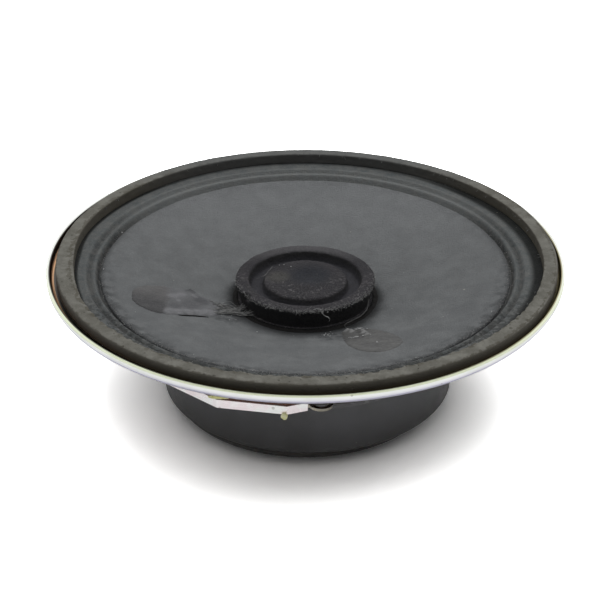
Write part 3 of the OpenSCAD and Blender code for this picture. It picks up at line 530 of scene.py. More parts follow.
# The dark halo round the cap's foot: partly a glue stain, partly painted shade under the cap, reaching furthest in
# front.
halo_wobble = use(tree, MOTTLE, Place=at, Scale=0.35, Detail=4.0, Spread=0.3)
reach = calc(tree, "ADD", 1.3, calc(tree, "MULTIPLY", halo_wobble, 0.9))
reach = calc(tree, "MAXIMUM", 0.6, calc(tree, "ADD", reach, calc(tree, "MULTIPLY", parts["Y"], -0.13)))
from_foot = calc(tree, "DIVIDE", calc(tree, "SUBTRACT", radius, 7.4), reach)
tint(tree, fade(tree, from_foot, 0.25, 1.2, 1.0, 0.0), (18, 19, 20), 0.94)
for centre, width in (((-8.3, -5.2, 12.1), 3.2), ((2.9, -9.4, 12.3), 2.6)):
    blotched = use(tree, MOTTLE, Place=at, Scale=1.2, Detail=5.0, Spread=0.15)
    stain = both(tree, spot(tree, at, centre, width), blotched)
    tint(tree, stain, (42, 43, 44), 0.8)
# Painted light: the back of the cone is painted lighter.
tint(tree, fade(tree, parts["Y"], 2.0, 18.0), (132, 134, 136), 0.28)
pale = use(tree, SPECKS, Place=at, Scale=0.75, Size=0.11, Share=0.1)
tint(tree, pale, (176, 174, 166), 0.6)
front_side = fade(tree, parts["Y"], -6.0, 4.0, 1.0, 0.25)
# Painted shade: the front of the cone is painted darker, in mottled patches.
front_painted_shade = both(tree, use(tree, MOTTLE, Place=at, Scale=0.3, Detail=5.0, Spread=0.12), front_side)
tint(tree, front_painted_shade, (80, 82, 84), 0.35)
scuffed = both(tree, use(tree, MOTTLE, Place=at, Scale=0.8, Detail=6.0, Spread=0.1), front_side)
tint(tree, both(tree, scuffed, fade(tree, radius, 20.3, 22.2)), (50, 51, 52), 0.6)
near_side = fade(tree, parts["Y"], 4.0, 17.0, 1.0, 0.1)
dark_edge = both(tree, fade(tree, radius, 21.9, 22.5), near_side)
tint(tree, dark_edge, (60, 61, 62), 0.6)

surround_paper, tree, at = paper_finish(
    "surround_paper", (75, 79, 80), (94, 97, 97), (118, 118, 116), 0.3)
radius = use(tree, RINGS, 0, Place=at, Scale=1.0)
parts = split(tree, at)
depth = parts["Y"]
nearer = fade(tree, depth, 4.0, 17.0, 1.0, 0.08)
ragged = use(tree, MOTTLE, Place=at, Scale=0.8, Detail=5.0, Spread=0.2)
# Painted shade in the two grooves, strongest at the front.
for dark_r, half, share in ((22.85, 0.4, 0.75), (23.82, 0.42, 0.5)):
    away = calc(tree, "ABSOLUTE", calc(tree, "SUBTRACT", radius, dark_r))
    away = calc(tree, "ADD", away, calc(tree, "MULTIPLY", ragged, 0.35 * half))
    dark = both(tree, fade(tree, away, 0.25 * half, half, 1.0, 0.0), nearer)
    tint(tree, dark, (24, 24, 24), share)
# Painted shadow of the gasket's wall on the landing at its foot, wider at the right; it is laid on last, below.
at_left = spot(tree, at, (-25.5, -3.0, 15.95), 11.0)
wall_r = calc(tree, "SUBTRACT", 25.9, calc(tree, "MULTIPLY", at_left, 0.45))
from_wall = calc(tree, "SUBTRACT", wall_r, radius)
toe = calc(tree, "ADD", 0.55, calc(tree, "MULTIPLY", fade(tree, parts["X"], 8.0, 21.0), 0.75))
wall_shadow = fade(tree, from_wall, calc(tree, "MULTIPLY", toe, 0.4), toe, 1.0, 0.0)
# Painted light: the rolls at the back are painted paler.
back_painted_light = both(tree, fade(tree, depth, 8.0, 18.0), fade(tree, radius, 24.0, 24.6, 1.0, 0.0))
tint(tree, back_painted_light, (132, 135, 135), 0.4)
crust = use(tree, MOTTLE, Place=at, Scale=1.1, Detail=6.0, Spread=0.12)
tint(tree, crust, (112, 110, 106), 0.25)
front_side = fade(tree, depth, -12.0, -4.0, 1.0, 0.1)
crinkled = both(tree, use(tree, MOTTLE, Place=at, Scale=1.5, Detail=6.0, Spread=0.08), front_side)
tint(tree, crinkled, (46, 46, 46), 0.6)
relief(tree, crinkled, -0.06)
tint(tree, both(tree, wall_shadow, fade(tree, depth, 17.0, 24.0, 1.0, 0.35)), (24, 26, 25))

cap_paper, tree, at = paper_finish("cap_paper", (38, 37, 40), (57, 55, 58), (86, 85, 86), 0.22)
parts = split(tree, at)
cloudy = use(tree, MOTTLE, Place=at, Scale=0.3, Detail=4.0, Spread=0.1)
tint(tree, calc(tree, "SUBTRACT", 1.0, cloudy), (36, 36, 40), 0.3)
# Painted light: the back of the cap is painted lighter.
tint(tree, fade(tree, parts["Y"], 3.0, 7.5), (90, 89, 91), 0.6)
curls = use(tree, FIBRES, Place=at, Scale=1.3, Width=0.02)
furred = fade(tree, parts["Y"], -1.0, 2.5, 1.0, 0.2)
tint(tree, both(tree, curls, furred), (112, 110, 110), 0.5)
relief(tree, curls, 0.03)
tint(tree, spot(tree, at, (0.5, 1.0, 13.94), 3.2), (34, 37, 43), 0.75)
tint(tree, spot(tree, at, (-3.0, 0.6, 13.94), 1.8), (78, 77, 73), 0.5)
# The wall is painted nearly black: black glue, and painted shade under the brim.
wall = fade(tree, facing_up(tree), 0.3, 0.75, 1.0, 0.0)
tint(tree, wall, (34, 34, 35), 0.9)
low = fade(tree, parts["Z"], 13.15, 13.8, 1.0, 0.0)
within = fade(tree, use(tree, RINGS, 0, Place=at, Scale=1.0), 6.5, 6.7, 1.0, 0.0)
tint(tree, both(tree, low, within), (54, 54, 58), 0.8)
print("made", cone_paper.name, surround_paper.name, cap_paper.name)

# %% [markdown]
# ## Glue, adhesive, cloth, board and metals of the small parts
#
# The glue round the cap is black and has dried dull. The adhesive over the leads is a grey skin. On the right one,
# pale spots are painted highlights on the ridges by the cap, and dark spots painted shade beside them. The left
# one has a dark oval, dark dabs, and pale spots that are painted highlights on its lumps. The same lumps are real
# relief on the pieces, further down. The spider is cotton cloth stiffened with amber resin, with its weave in the
# bump. The terminal board is brown phenolic paper, the lugs are tinned and painted dark on top and at the right
# lug's eye, as painted shade, and the flexible leads are copper tinsel.

# %% Small parts
def dab(tree, at, spots, share, blue=0):
    """Lays soft grey spots on a finish. spots are (x, y, radius, tone), and blue is added to the tone's blue."""
    for x, y, radius, tone in spots:
        tint(tree, spot(tree, at, (x, y, 0), radius), (tone, tone, tone + blue), share)


black_glue, tree, at, mottled = finish(
    "black_glue", (12, 12, 12), (24, 23, 22), 1.2, Specular_IOR_Level=0.15)
relief(tree, use(tree, MOTTLE, Place=at, Scale=2.0, Detail=4.0, Spread=0.3), 0.05)
polish(tree, mottled, 0.75, 0.95)

adhesive, tree, at, mottled = finish(
    "lead_adhesive", (60, 60, 60), (75, 75, 74), 0.5, 0.2, 4.0, Specular_IOR_Level=0.3)
# Pale spots are painted highlights on the right skin's ridges, and dark spots painted shade between them.
ridge_light_and_shade = [(4.5, -8.3, 0.7, 124), (5.1, -9.0, 0.6, 116), (5.9, -8.7, 0.5, 124), (6.3, -9.7, 0.5, 116),
    (6.6, -10.6, 0.5, 108), (5.6, -9.5, 0.45, 40), (5.85, -10.4, 0.45, 44), (6.05, -11.2, 0.4, 50)]
dab(tree, seen_from_above(tree, at), ridge_light_and_shade, 0.75)
film = use(tree, MOTTLE, Place=at, Scale=2.2, Detail=5.0, Spread=0.25)
relief(tree, film, 0.015)
polish(tree, film, 0.45, 0.65)
scuff = use(tree, SPECKS, Place=at, Scale=1.6, Size=0.3, Share=0.1)
tint(tree, scuff, (170, 170, 168), 0.5)

dark_adhesive, tree, at, mottled = finish(
    "dark_adhesive", (74, 75, 77), (92, 93, 95), 0.5, 0.2, 4.0, Specular_IOR_Level=0.25)
relief(tree, use(tree, MOTTLE, Place=at, Scale=2.2, Detail=5.0, Spread=0.25), 0.06)
parts = split(tree, at)
across = calc(tree, "ADD", parts["X"], calc(tree, "MULTIPLY", mottled, 0.5))
oval = fade(tree, across, -15.3, -14.5, 1.0, 0.0)
tint(tree, oval, (78, 77, 77), 0.9)
tint(tree, both(tree, oval, fade(tree, parts["Y"], -6.4, -2.4, 1.0, 0.0)), (44, 44, 46), 0.85)
flat = seen_from_above(tree, at)
dark_dabs = [(-12.75, -1.25, 0.8, 36), (-11.4, -3.1, 1.3, 54), (-12.6, -4.6, 1.5, 64), (-14.2, -5.5, 1.1, 60)]
# Pale spots are painted highlights on the left skin's lumps and along its lower rim.
lump_highlights = [(-14.7, -7.1, 0.8), (-13.7, -6.8, 0.8), (-12.7, -6.4, 0.8), (-11.6, -6.0, 0.8), (-10.5, -5.5, 1.1),
    (-14.5, -3.3, 0.9), (-13.6, -2.8, 0.8), (-13.86, -4.1, 0.35), (-12.2, -2.6, 0.5)]
dab(tree, flat, dark_dabs, 0.65, 3)
dab(tree, flat, [(*lump, 110) for lump in lump_highlights], 0.55, 3)
polish(tree, mottled, 0.5, 0.7)

torn_skin, tree, at, mottled = finish("torn_skin", (112, 113, 114), (178, 179, 178), 2.0, 0.15, 5.0)
relief(tree, use(tree, FIBRES, Place=at, Scale=4.0, Width=0.05), 0.02)
polish(tree, mottled, 0.5, 0.8)

fluff, tree, at, mottled = finish(
    "fluff", (86, 87, 87), (142, 142, 141), 3.0, Sheen_Weight=0.2, Specular_IOR_Level=0.2)
polish(tree, mottled, 0.85, 0.95)

spider_cloth, tree, at, mottled = finish(
    "spider_cloth", (150, 112, 62), (186, 146, 88), 0.6, Specular_IOR_Level=0.35)
weave = []
for turn in (0.0, math.pi / 2):
    laid = put(tree, "ShaderNodeMapping", {"Vector": at, "Rotation": (0, 0, turn)})
    sockets = {"Vector": laid.outputs[0], "Scale": 1.05, "Distortion": 0.6, "Detail": 1.0}
    weave.append(put(tree, "ShaderNodeTexWave", sockets).outputs["Fac"])
thread = calc(tree, "MULTIPLY", *weave)
tint(tree, fade(tree, thread, 0.0, 0.4, 1.0, 0.0), (112, 78, 38), 0.5)
relief(tree, thread, 0.05)
polish(tree, mottled, 0.55, 0.8)

phenolic, tree, at, mottled = finish("phenolic", (70, 32, 20), (104, 54, 32), 1.6, 0.3, 6.0, Coat_Weight=0.3)
relief(tree, use(tree, MOTTLE, Place=at, Scale=7.0, Detail=3.0, Spread=0.3), 0.01)
polish(tree, mottled, 0.4, 0.6)

coil_paper, tree, at, mottled = finish("coil_paper", (150, 116, 74), (184, 150, 104), 1.2)
relief(tree, use(tree, FIBRES, Place=at, Scale=2.0, Width=0.05), 0.008)
polish(tree, mottled, 0.6, 0.8)

copper, tree, at, mottled = finish("enamelled_copper", (172, 88, 44), (204, 116, 62), 1.5, Metallic=0.9)
polish(tree, mottled, 0.25, 0.4)

cap_fluff, tree, at, mottled = finish("cap_fluff", (58, 58, 59), (98, 98, 99), 3.0, Specular_IOR_Level=0.2)
polish(tree, mottled, 0.85, 0.95)

wire_grey, tree, at, mottled = finish("varnished_wire", (44, 44, 44), (66, 66, 65), 2.0, Metallic=0.2)
polish(tree, mottled, 0.4, 0.6)

tinsel, tree, at, mottled = finish("tinsel", (168, 104, 66), (206, 142, 98), 2.4, Metallic=0.9)
relief(tree, use(tree, FIBRES, Place=at, Scale=5.0, Width=0.1), 0.01)
polish(tree, mottled, 0.32, 0.5)

tinned, tree, at, mottled = finish("tinned_brass", (166, 162, 150), (206, 202, 190), 1.2, Metallic=1.0)
relief(tree, use(tree, MOTTLE, Place=at, Scale=2.5, Detail=3.0, Spread=0.3), 0.02)
polish(tree, mottled, 0.22, 0.42)
worn = use(tree, MOTTLE, Place=at, Scale=0.8, Detail=4.0, Spread=0.06)
tint(tree, worn, (196, 176, 120), 0.3)
# Painted shade: the lugs are painted dark on faces that look up, and the right lug darker at its eye end.
top_painted_shade = fade(tree, facing_up(tree), 0.2, 0.7)
tint(tree, top_painted_shade, (70, 64, 56), 0.9)
eye_painted_shade = fade(tree, split(tree, at)["X"], 0.4, 1.6)
tint(tree, eye_painted_shade, (84, 78, 66), 0.65)

brass, tree, at, mottled = finish("rivet_brass", (190, 160, 92), (222, 196, 128), 1.6, Metallic=1.0)
polish(tree, mottled, 0.28, 0.5)

solder, tree, at, mottled = finish("solder", (190, 188, 176), (222, 220, 206), 1.5, Metallic=0.85)
relief(tree, use(tree, MOTTLE, Place=at, Scale=1.6, Detail=3.0, Spread=0.3), 0.04)
polish(tree, mottled, 0.25, 0.5)
flux = use(tree, MOTTLE, Place=at, Scale=1.1, Detail=2.0, Spread=0.12)
tint(tree, flux, (206, 200, 112), 0.8)

flux_resin, tree, at, mottled = finish(
    "flux_resin", (222, 220, 138), (244, 242, 200), 2.2, 0.15, Coat_Weight=0.4, Coat_Roughness=0.2)
polish(tree, mottled, 0.3, 0.6)
print("materials", len(bpy.data.materials))

# %% [markdown]
# ## Finishes of the CAD parts that stay
#
# These parts are rigid metal, ferrite or board, and their solids are exact, so they keep their CAD meshes and only
# get their finish.

# %% Dress the CAD parts
DRESS = {
    "back_yoke": dull_plate, "top_plate": plated, "basket_rivets": plated, "board_rivet": plated, "magnet": ferrite,
    "basket": basket_steel, "terminal_board": phenolic, "lug_rivets": brass, "terminal_lug_right": tinned,
    "terminal_lug_left": tinned, "voice_coil_former": coil_paper,
}
for node, material in DRESS.items():
    NODES[node].data.materials.clear()
    NODES[node].data.materials.append(material)
print("dressed", len(DRESS), "of", len(NODES), "nodes")

# %% [markdown]
# ## Drawing and turning
#
# Most pieces of a loudspeaker are round, so they are made as a potter would: a half section is drawn as a row of
# vertices, extruded from point to point, and spun round the axis. A helper rounds the corners of the section and
# sets its points a fixed step apart, so that later relief has enough mesh to work on. The relief itself is a
# Displace modifier with a cloud texture, held back by a vertex group where the piece has to stay smooth.

# %% Helpers for shapes
CONE, FRAME = "cone_assembly", "frame"


def on_circle(radius, angle):
    """x and y at an angle round the axis."""
    return radius * math.cos(angle), radius * math.sin(angle)


def fresh(operator, name, **settings):
    """Adds a primitive with nothing else selected, and names it."""
    bpy.ops.object.select_all(action="DESELECT")
    operator(**settings)
    obj = bpy.context.object
    obj.name = obj.data.name = name
    return obj


def rounded(corners, radii, step):
    """Straight lines with rounded corners, as points about one step apart. In millimetres."""
    path = [Vector(corners[0])]
    for before, at, after, radius in zip(corners, corners[1:], corners[2:], radii):
        at = Vector(at)
        back, ahead = (Vector(before) - at).normalized(), (Vector(after) - at).normalized()
        reach = radius / math.tan(back.angle(ahead) / 2) if radius else 0
        for i in range(9):
            t = i / 8
            path.append(at + back * reach * (1 - t) ** 2 + ahead * reach * t ** 2)
    path.append(Vector(corners[-1]))
    return spaced(path, step)


def spaced(path, step):
    """The same line, with its points evenly spaced."""
    path = [Vector(p) for p in path]
    lengths = [0.0]
    for a, b in zip(path, path[1:]):
        lengths.append(lengths[-1] + (b - a).length)
    count = max(2, round(lengths[-1] / step))
    even, at = [], 0
    for i in range(count + 1):
        wanted = lengths[-1] * i / count
        while at < len(path) - 2 and lengths[at + 1] < wanted:
            at += 1
        span = max(lengths[at + 1] - lengths[at], 1e-9)
        even.append(path[at].lerp(path[at + 1], min(1, (wanted - lengths[at]) / span)))
    return even


def beside(path, thickness):
    """The line at one thickness to the right of another, as the back of a sheet is to its front."""
    moved = []
    for i, point in enumerate(path):
        along = path[min(i + 1, len(path) - 1)] - path[max(i - 1, 0)]
        moved.append(point + Vector((along.y, -along.x)).normalized() * thickness)
    return moved


def draw_line(name, points):
    """A row of vertices and edges: one vertex, extruded from point to point. Leaves the object in edit mode."""
    obj = fresh(bpy.ops.mesh.primitive_plane_add, name, size=MM, location=(0, 0, 0))
    bpy.ops.object.mode_set(mode="EDIT")
    bpy.ops.mesh.select_all(action="SELECT")
    bpy.ops.mesh.merge(type="CENTER")
    bpy.ops.transform.translate(value=points[0])
    for a, b in zip(points, points[1:]):
        bpy.ops.mesh.extrude_vertices_move(TRANSFORM_OT_translate={"value": b - a})
    return obj


def turned(name, section, steps, closed=True):
    """Spins a half section round the axis. A closed one makes a ring, an open one starts and ends on the axis."""
    outline = section + section[:1] if closed else section
    obj = draw_line(name, [Vector((p[0], 0, p[1])) * MM for p in outline])
    bpy.ops.mesh.select_all(action="SELECT")
    count = steps
    bpy.ops.mesh.spin(steps=count, angle=2 * math.pi, center=(0, 0, 0), axis=(0, 0, 1))
    bpy.ops.mesh.select_all(action="SELECT")
    bpy.ops.mesh.remove_doubles(threshold=0.001 * MM)
    bpy.ops.mesh.normals_make_consistent(inside=False)
    bpy.ops.object.mode_set(mode="OBJECT")
    bpy.ops.object.shade_smooth_by_angle(angle=math.radians(60))
    print(name, len(obj.data.polygons), "faces")
    return obj


def roughen(obj, height, size, weight=None):
    """Uneven relief of that height, in millimetres. weight, a function of the point, says where."""
    texture = bpy.data.textures.new(obj.name + "_relief", "CLOUDS")
    texture.noise_scale = size * MM
    texture.noise_depth = 2
    shake = obj.modifiers.new("relief", "DISPLACE")
    shake.texture, shake.strength, shake.mid_level = texture, height * MM, 0.5
    if weight:
        group = obj.vertex_groups.new(name="relief")
        for vertex in obj.data.vertices:
            amount = weight(vertex.co / MM)
            if amount > 0:
                group.add([vertex.index], min(1.0, amount), "REPLACE")
        shake.vertex_group = group.name
    bpy.context.view_layer.objects.active = obj
    bpy.ops.object.modifier_apply(modifier=shake.name)
    obj.vertex_groups.clear()


def keep(obj, material, body=None, stands_for=()):
    """Gives a finished piece its material and the body it rides on, and hides the CAD nodes it stands for."""
    obj.data.materials.clear()
    obj.data.materials.append(material)
    if body:
        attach(obj, body)
    if stands_for:
        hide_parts(*stands_for)
    return obj


def ramp(value, start, end):
    """0 before start, 1 after end, smooth in between."""
    t = min(1.0, max(0.0, (value - start) / (end - start)))
    return t * t * (3 - 2 * t)


def radius_of(point):
    """Distance of a point from the axis."""
    return math.hypot(point.x, point.y)


print("full mesh")

# %% [markdown]
# ## The cone
#
# A shallow cone of felted paper, 0.36 mm thick, with a short neck that turns down round the voice coil. It is
# turned from its section. The front has far finer mesh than the back, because a slow swell and a fine felt are
# pressed into it as real relief.

# %% The cone
NECK_R, CONE_R, CONE_T = 6.67, 22.6, 0.36
Z_NECK_FOOT, Z_NECK, Z_CONE_EDGE = 10.77, 11.39, 15.34
EDGE_ROUND = 0.26
SLOPE = (Z_CONE_EDGE - Z_NECK) / (CONE_R - NECK_R)


def z_cone(r):
    """Height of the cone's face at a radius."""
    return Z_CONE_EDGE - SLOPE * (CONE_R - r)


def z_under(x, y):
    """Height of the cone's face at a point."""
    return z_cone(math.hypot(x, y))


edge_foot = (CONE_R, Z_CONE_EDGE - CONE_T)
inner_r = NECK_R + CONE_T
front = rounded([(NECK_R, Z_NECK_FOOT), (NECK_R, Z_NECK), (CONE_R, Z_CONE_EDGE), edge_foot], [0.15, EDGE_ROUND], 0.12)
back = rounded([edge_foot, (inner_r, z_cone(inner_r) - CONE_T), (inner_r, Z_NECK_FOOT)], [0.2], 0.45)
cone = turned("cone_shell", front[:-1] + back, 384)
roughen(cone, 0.09, 5.0)
roughen(cone, 0.035, 0.45)
roughen(cone, 0.16, 0.6, lambda p: ramp(radius_of(p), 21.5, 22.3) * (0.3 + 0.7 * ramp(-p.y, -6, 10)))
keep(cone, cone_paper, CONE, ["cone"])

# %% [markdown]
# ## The surround
#
# The thin ring that lets the cone move: a seat glued under the cone's edge, a ridge between two grooves, and a
# flat landing clamped under the gasket. It crosses the joint: in the driver its inner edge goes with the cone and
# its outer edge stays. Its relief is strongest at the front, as in the photograph, and stops short of the gasket,
# which sits flat on it.

# %% The surround
SURROUND_T = 0.25
SEAT_IN, SEAT_OUT = 21.7, 22.65
RIDGE, GROOVE, LANDING = (23.3, 15.72), (23.8, 15.5), (24.3, 15.95)
SURROUND_END = 27.1
PAPER_GAP = 0.05


def swell(a, b, count=14):
    """A smooth rise or fall between two points."""
    return [
        Vector((a[0] + (b[0] - a[0]) * i / count, a[1] + (b[1] - a[1]) * (1 - math.cos(math.pi * i / count)) / 2))
        for i in range(1, count + 1)]


def bend_over_radius(obj):
    """Bakes the piece's placement into its mesh."""
    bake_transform(obj)


seat_z = Z_CONE_EDGE - CONE_T - PAPER_GAP
line = [Vector((SEAT_IN, z_cone(SEAT_IN) - CONE_T - PAPER_GAP)), Vector((SEAT_OUT, seat_z))]
line += swell((SEAT_OUT, seat_z), RIDGE) + swell(RIDGE, GROOVE) + swell(GROOVE, LANDING)
line.append(Vector((SURROUND_END, LANDING[1])))
top = spaced(line, 0.09)
under = [p - Vector((0, SURROUND_T)) for p in spaced(line, 0.2)]
surround = turned("surround_ring", top + under[::-1], 480)
rough_front = lambda p: 0.35 + 0.65 * ramp(-p.y, -5, 18)
roughen(surround, 0.05, 0.5, lambda p: rough_front(p) * (1 - ramp(radius_of(p), 25.6, 26)))
roughen(surround, 0.08, 2.2, lambda p: rough_front(p) * (1 - ramp(radius_of(p), 25.4, 26)))
keep(surround, surround_paper, None, ["surround"])
bend_over_radius(surround)

# %% [markdown]
# ## The gasket ring
#
# A ring of grey board, punched out and glued on the surround's landing. The punch rounds the outer edge and tears
# the inner one, so the inner edge gets its own strong relief, most of it at the front, where it has crumbled. The
# ring was glued on by hand: its right half sits a little off centre, and at the left it is wider inwards.

# %% The gasket ring
OFF_CENTRE, WIDER_LEFT = 0.3, 0.45
GASKET_MIDDLE = 26.6
section = rounded([(GASKET_MIDDLE, GASKET_LOW), (GASKET_OUT, GASKET_LOW), (GASKET_OUT, GASKET_HIGH),
    (GASKET_IN, GASKET_HIGH), (GASKET_IN, GASKET_LOW), (GASKET_MIDDLE, GASKET_LOW)], [0.05, 0.3, 0.12, 0.05], 0.1)
gasket = turned("gasket_ring", section[:-1], 720)
free = lambda p: ramp(p.z, GASKET_LOW + 0.1, GASKET_LOW + 0.4)
inner_edge = lambda p: free(p) * (1 - ramp(radius_of(p), GASKET_IN + 0.1, GASKET_IN + 0.45))
roughen(gasket, 0.02, 0.3, free)
roughen(gasket, 0.09, 2.5, free)
roughen(gasket, 0.42, 0.7, lambda p: inner_edge(p) * (0.25 + 0.75 * ramp(-p.y, 0, 20)))
for vertex in gasket.data.vertices:
    x, y = vertex.co.x / MM, vertex.co.y / MM
    inner = 1 - ramp(math.hypot(x, y), GASKET_IN + 0.3, GASKET_IN + 1.0)
    left = ramp(-x, 10, 24) * math.exp(-((y + 3) / 7) ** 2)
    vertex.co.x += (OFF_CENTRE * ramp(x, 6, 27) + WIDER_LEFT * inner * left) * MM
keep(gasket, board, FRAME, ["gasket"])

# %% [markdown]
# ## The dust cap
#
# A pressed paper cap in the shape of a hat: a raised disc, a moat round it, a brim, and a wall that leans in under
# the brim to a foot glued on the cone. It is turned from a strip with its true thickness. Dents in the brim and a
# hollow in the disc come from pulling vertices with a soft falloff.

# %% The dust cap
WALL_FOOT_R, FOOT_R = 7.19, 7.49
Z_BRIM, Z_MOAT, Z_DISC = 14.19, 12.99, 13.94
DISC_R, BRIM_BORE_R, BRIM_R = 4.55, 6.3, 7.84
CAP_T = 0.3
FOOT_LIFT = 0.33


def pull(obj, centre, reach, shift):
    """Moves the points within reach of centre by shift, less the further they are. In millimetres."""
    centre, shift = Vector(centre), Vector(shift)
    for vertex in obj.data.vertices:
        near = 1 - (vertex.co / MM - centre).length / reach
        if near > 0:
            vertex.co += shift * MM * near * near * (3 - 2 * near)


cap_corners = [(0, Z_DISC + 0.04), (DISC_R, Z_DISC - 0.02), (DISC_R + 0.3, Z_MOAT), (BRIM_BORE_R - 0.3, Z_MOAT),
    (BRIM_BORE_R, Z_BRIM), (BRIM_R, Z_BRIM), (WALL_FOOT_R, z_cone(WALL_FOOT_R) + FOOT_LIFT),
    (FOOT_R, z_cone(FOOT_R) + FOOT_LIFT)]
cap_rounds = [0.35, 0.2, 0.2, 0.35, 0.35, 0.1]
front = rounded(cap_corners, cap_rounds, 0.1)
back = beside(rounded(cap_corners, cap_rounds, 0.25), CAP_T)
back[0].x = 0
cap = turned("cap_shell", front + back[::-1], 360, closed=False)
above = lambda p: ramp(p.z, 12.4, 13.4)
roughen(cap, 0.06, 0.22, above)
roughen(cap, 0.12, 1.6, above)
DENTS = [((-6.6, -4.3, 14.0), 0.9, (0.35, 0.3, -0.35)), ((2.1, -7.4, 13.9), 1.2, (0.0, 0.12, -0.12)),
    ((-3.9, 2.1, 13.9), 1.4, (-0.25, 0.1, -0.05)), ((0.5, 1.0, 13.9), 2.6, (0.0, 0.0, -0.3))]
for centre, reach, shift in DENTS:
    pull(cap, centre, reach, shift)
keep(cap, cap_paper, CONE, ["dust_cap"])

# %% [markdown]
# ## Glue beads and the coil
#
# The black glue round the cap's foot was run on by hand, so it swells and thins. The bead that bonds the neck to
# the coil's tube is hidden in the cap. The coil has 24 turns of enamelled wire in its outer layer, and each turn is
# one small arch in the section before it is spun.

# %% Glue beads and the coil
BEAD_IN, BEAD_WIDE, BEAD_HIGH = FOOT_R + 0.1, 0.5, 0.2
ABOVE_PAPER = 0.02
arch = []
for i in range(9):
    r = BEAD_IN + BEAD_WIDE * i / 8
    arch.append(Vector((r, z_cone(r) + ABOVE_PAPER + BEAD_HIGH * math.cos(math.pi / 2 * i / 8))))
bead = turned("cap_glue_bead", arch + [Vector((BEAD_IN, z_cone(BEAD_IN) + ABOVE_PAPER))], 256)
roughen(bead, 0.1, 1.4)
keep(bead, black_glue, CONE, ["cap_glue"])

FORMER_OUT = 6.62
beside_former = FORMER_OUT + 0.02
neck_section = rounded([(beside_former, Z_NECK + 0.02), (6.87, Z_NECK + 0.07), (beside_former, Z_NECK + 0.22),
    (beside_former, Z_NECK + 0.02)], [0.03, 0.03], 0.05)
neck_bead = turned("neck_glue_bead", neck_section[:-1], 128)
keep(neck_bead, black_glue, CONE, ["neck_glue"])

COIL_LOW, COIL_HIGH, COIL_IN, COIL_OUT = 6.7, 9.7, 6.64, 6.89
COIL_TURNS = 24
pitch = (COIL_HIGH - COIL_LOW) / COIL_TURNS
wound = [Vector((COIL_IN, COIL_LOW))]
for k in range(COIL_TURNS):
    for i in range(7):
        angle = math.pi * i / 6
        r = COIL_OUT - pitch / 2 + pitch / 2 * math.sin(angle)
        wound.append(Vector((r, COIL_LOW + pitch * (k + 0.5 - math.cos(angle) / 2))))
wound.append(Vector((COIL_IN, COIL_HIGH)))
coil = turned("coil_turns", wound, 128)
keep(coil, copper, CONE, ["coil_winding"])

# %% [markdown]
# ## The spider
#
# The spider is a disc of resin-stiffened cloth, pressed into rolls. It centres the coil and bends with it, from
# the coil's tube to the basket's ledge.

# %% The spider
SPIDER_IN, ROLLS_IN, ROLLS_OUT, SPIDER_OUT = 6.67, 7.77, 14.08, 16.6
Z_SPIDER, SPIDER_T, ROLL = 10.67, 0.22, 0.32
HALF_ROLLS = 6
half = (ROLLS_OUT - ROLLS_IN) / HALF_ROLLS
crests = [(ROLLS_IN + half * (i + 0.5), Z_SPIDER + (-ROLL if i % 2 else ROLL)) for i in range(HALF_ROLLS)]
line = [Vector((SPIDER_IN, Z_SPIDER)), Vector((ROLLS_IN, Z_SPIDER))]
for a, b in zip([(ROLLS_IN, Z_SPIDER)] + crests, crests + [(ROLLS_OUT, Z_SPIDER)]):
    line += swell(a, b)
line.append(Vector((SPIDER_OUT, Z_SPIDER)))
top = spaced(line, 0.12)
under = [p - Vector((0, SPIDER_T)) for p in top]
spider = turned("spider_disc", top + under[::-1], 288)
roughen(spider, 0.03, 0.5, lambda p: 1 - ramp(radius_of(p), 13.6, 14.0))
keep(spider, spider_cloth, None, ["spider"])
bend_over_radius(spider)

# %% [markdown]
# ## The adhesive over the leads
#
# Each lead's joint on the cone is hidden under a skin of grey adhesive. It is a fine grid, cut to the outline of
# the patch and laid on the cone's slope: rounded at its edge, higher over the joint, with lumps where it was
# dabbed on. The edge dips below the paper, so no gap shows, and Solidify closes it underneath.

# %% The adhesive patches
SKIN_STEP, SKIN_WALL = 0.09, 0.12


def side_of(outline, x, y):
    """Distance to the outline, more than 0 inside it."""
    inside, nearest = False, 1e9
    for (ax, ay), (bx, by) in zip(outline, outline[1:] + outline[:1]):
        if (ay > y) != (by > y) and x < (bx - ax) * (y - ay) / (by - ay) + ax:
            inside = not inside
        dx, dy = bx - ax, by - ay
        t = min(1, max(0, ((x - ax) * dx + (y - ay) * dy) / (dx * dx + dy * dy)))
        nearest = min(nearest, math.hypot(x - ax - t * dx, y - ay - t * dy))
    return nearest if inside else -nearest


def smooth_loop(outline, rounds=2):
    """Cuts the corners of a closed outline, again and again, until it is a smooth curve."""
    for _ in range(rounds):
        cut = []
        for a, b in zip(outline, outline[1:] + outline[:1]):
            cut += [(0.75 * a[0] + 0.25 * b[0], 0.75 * a[1] + 0.25 * b[1]),
                (0.25 * a[0] + 0.75 * b[0], 0.25 * a[1] + 0.75 * b[1])]
        outline = cut
    return outline


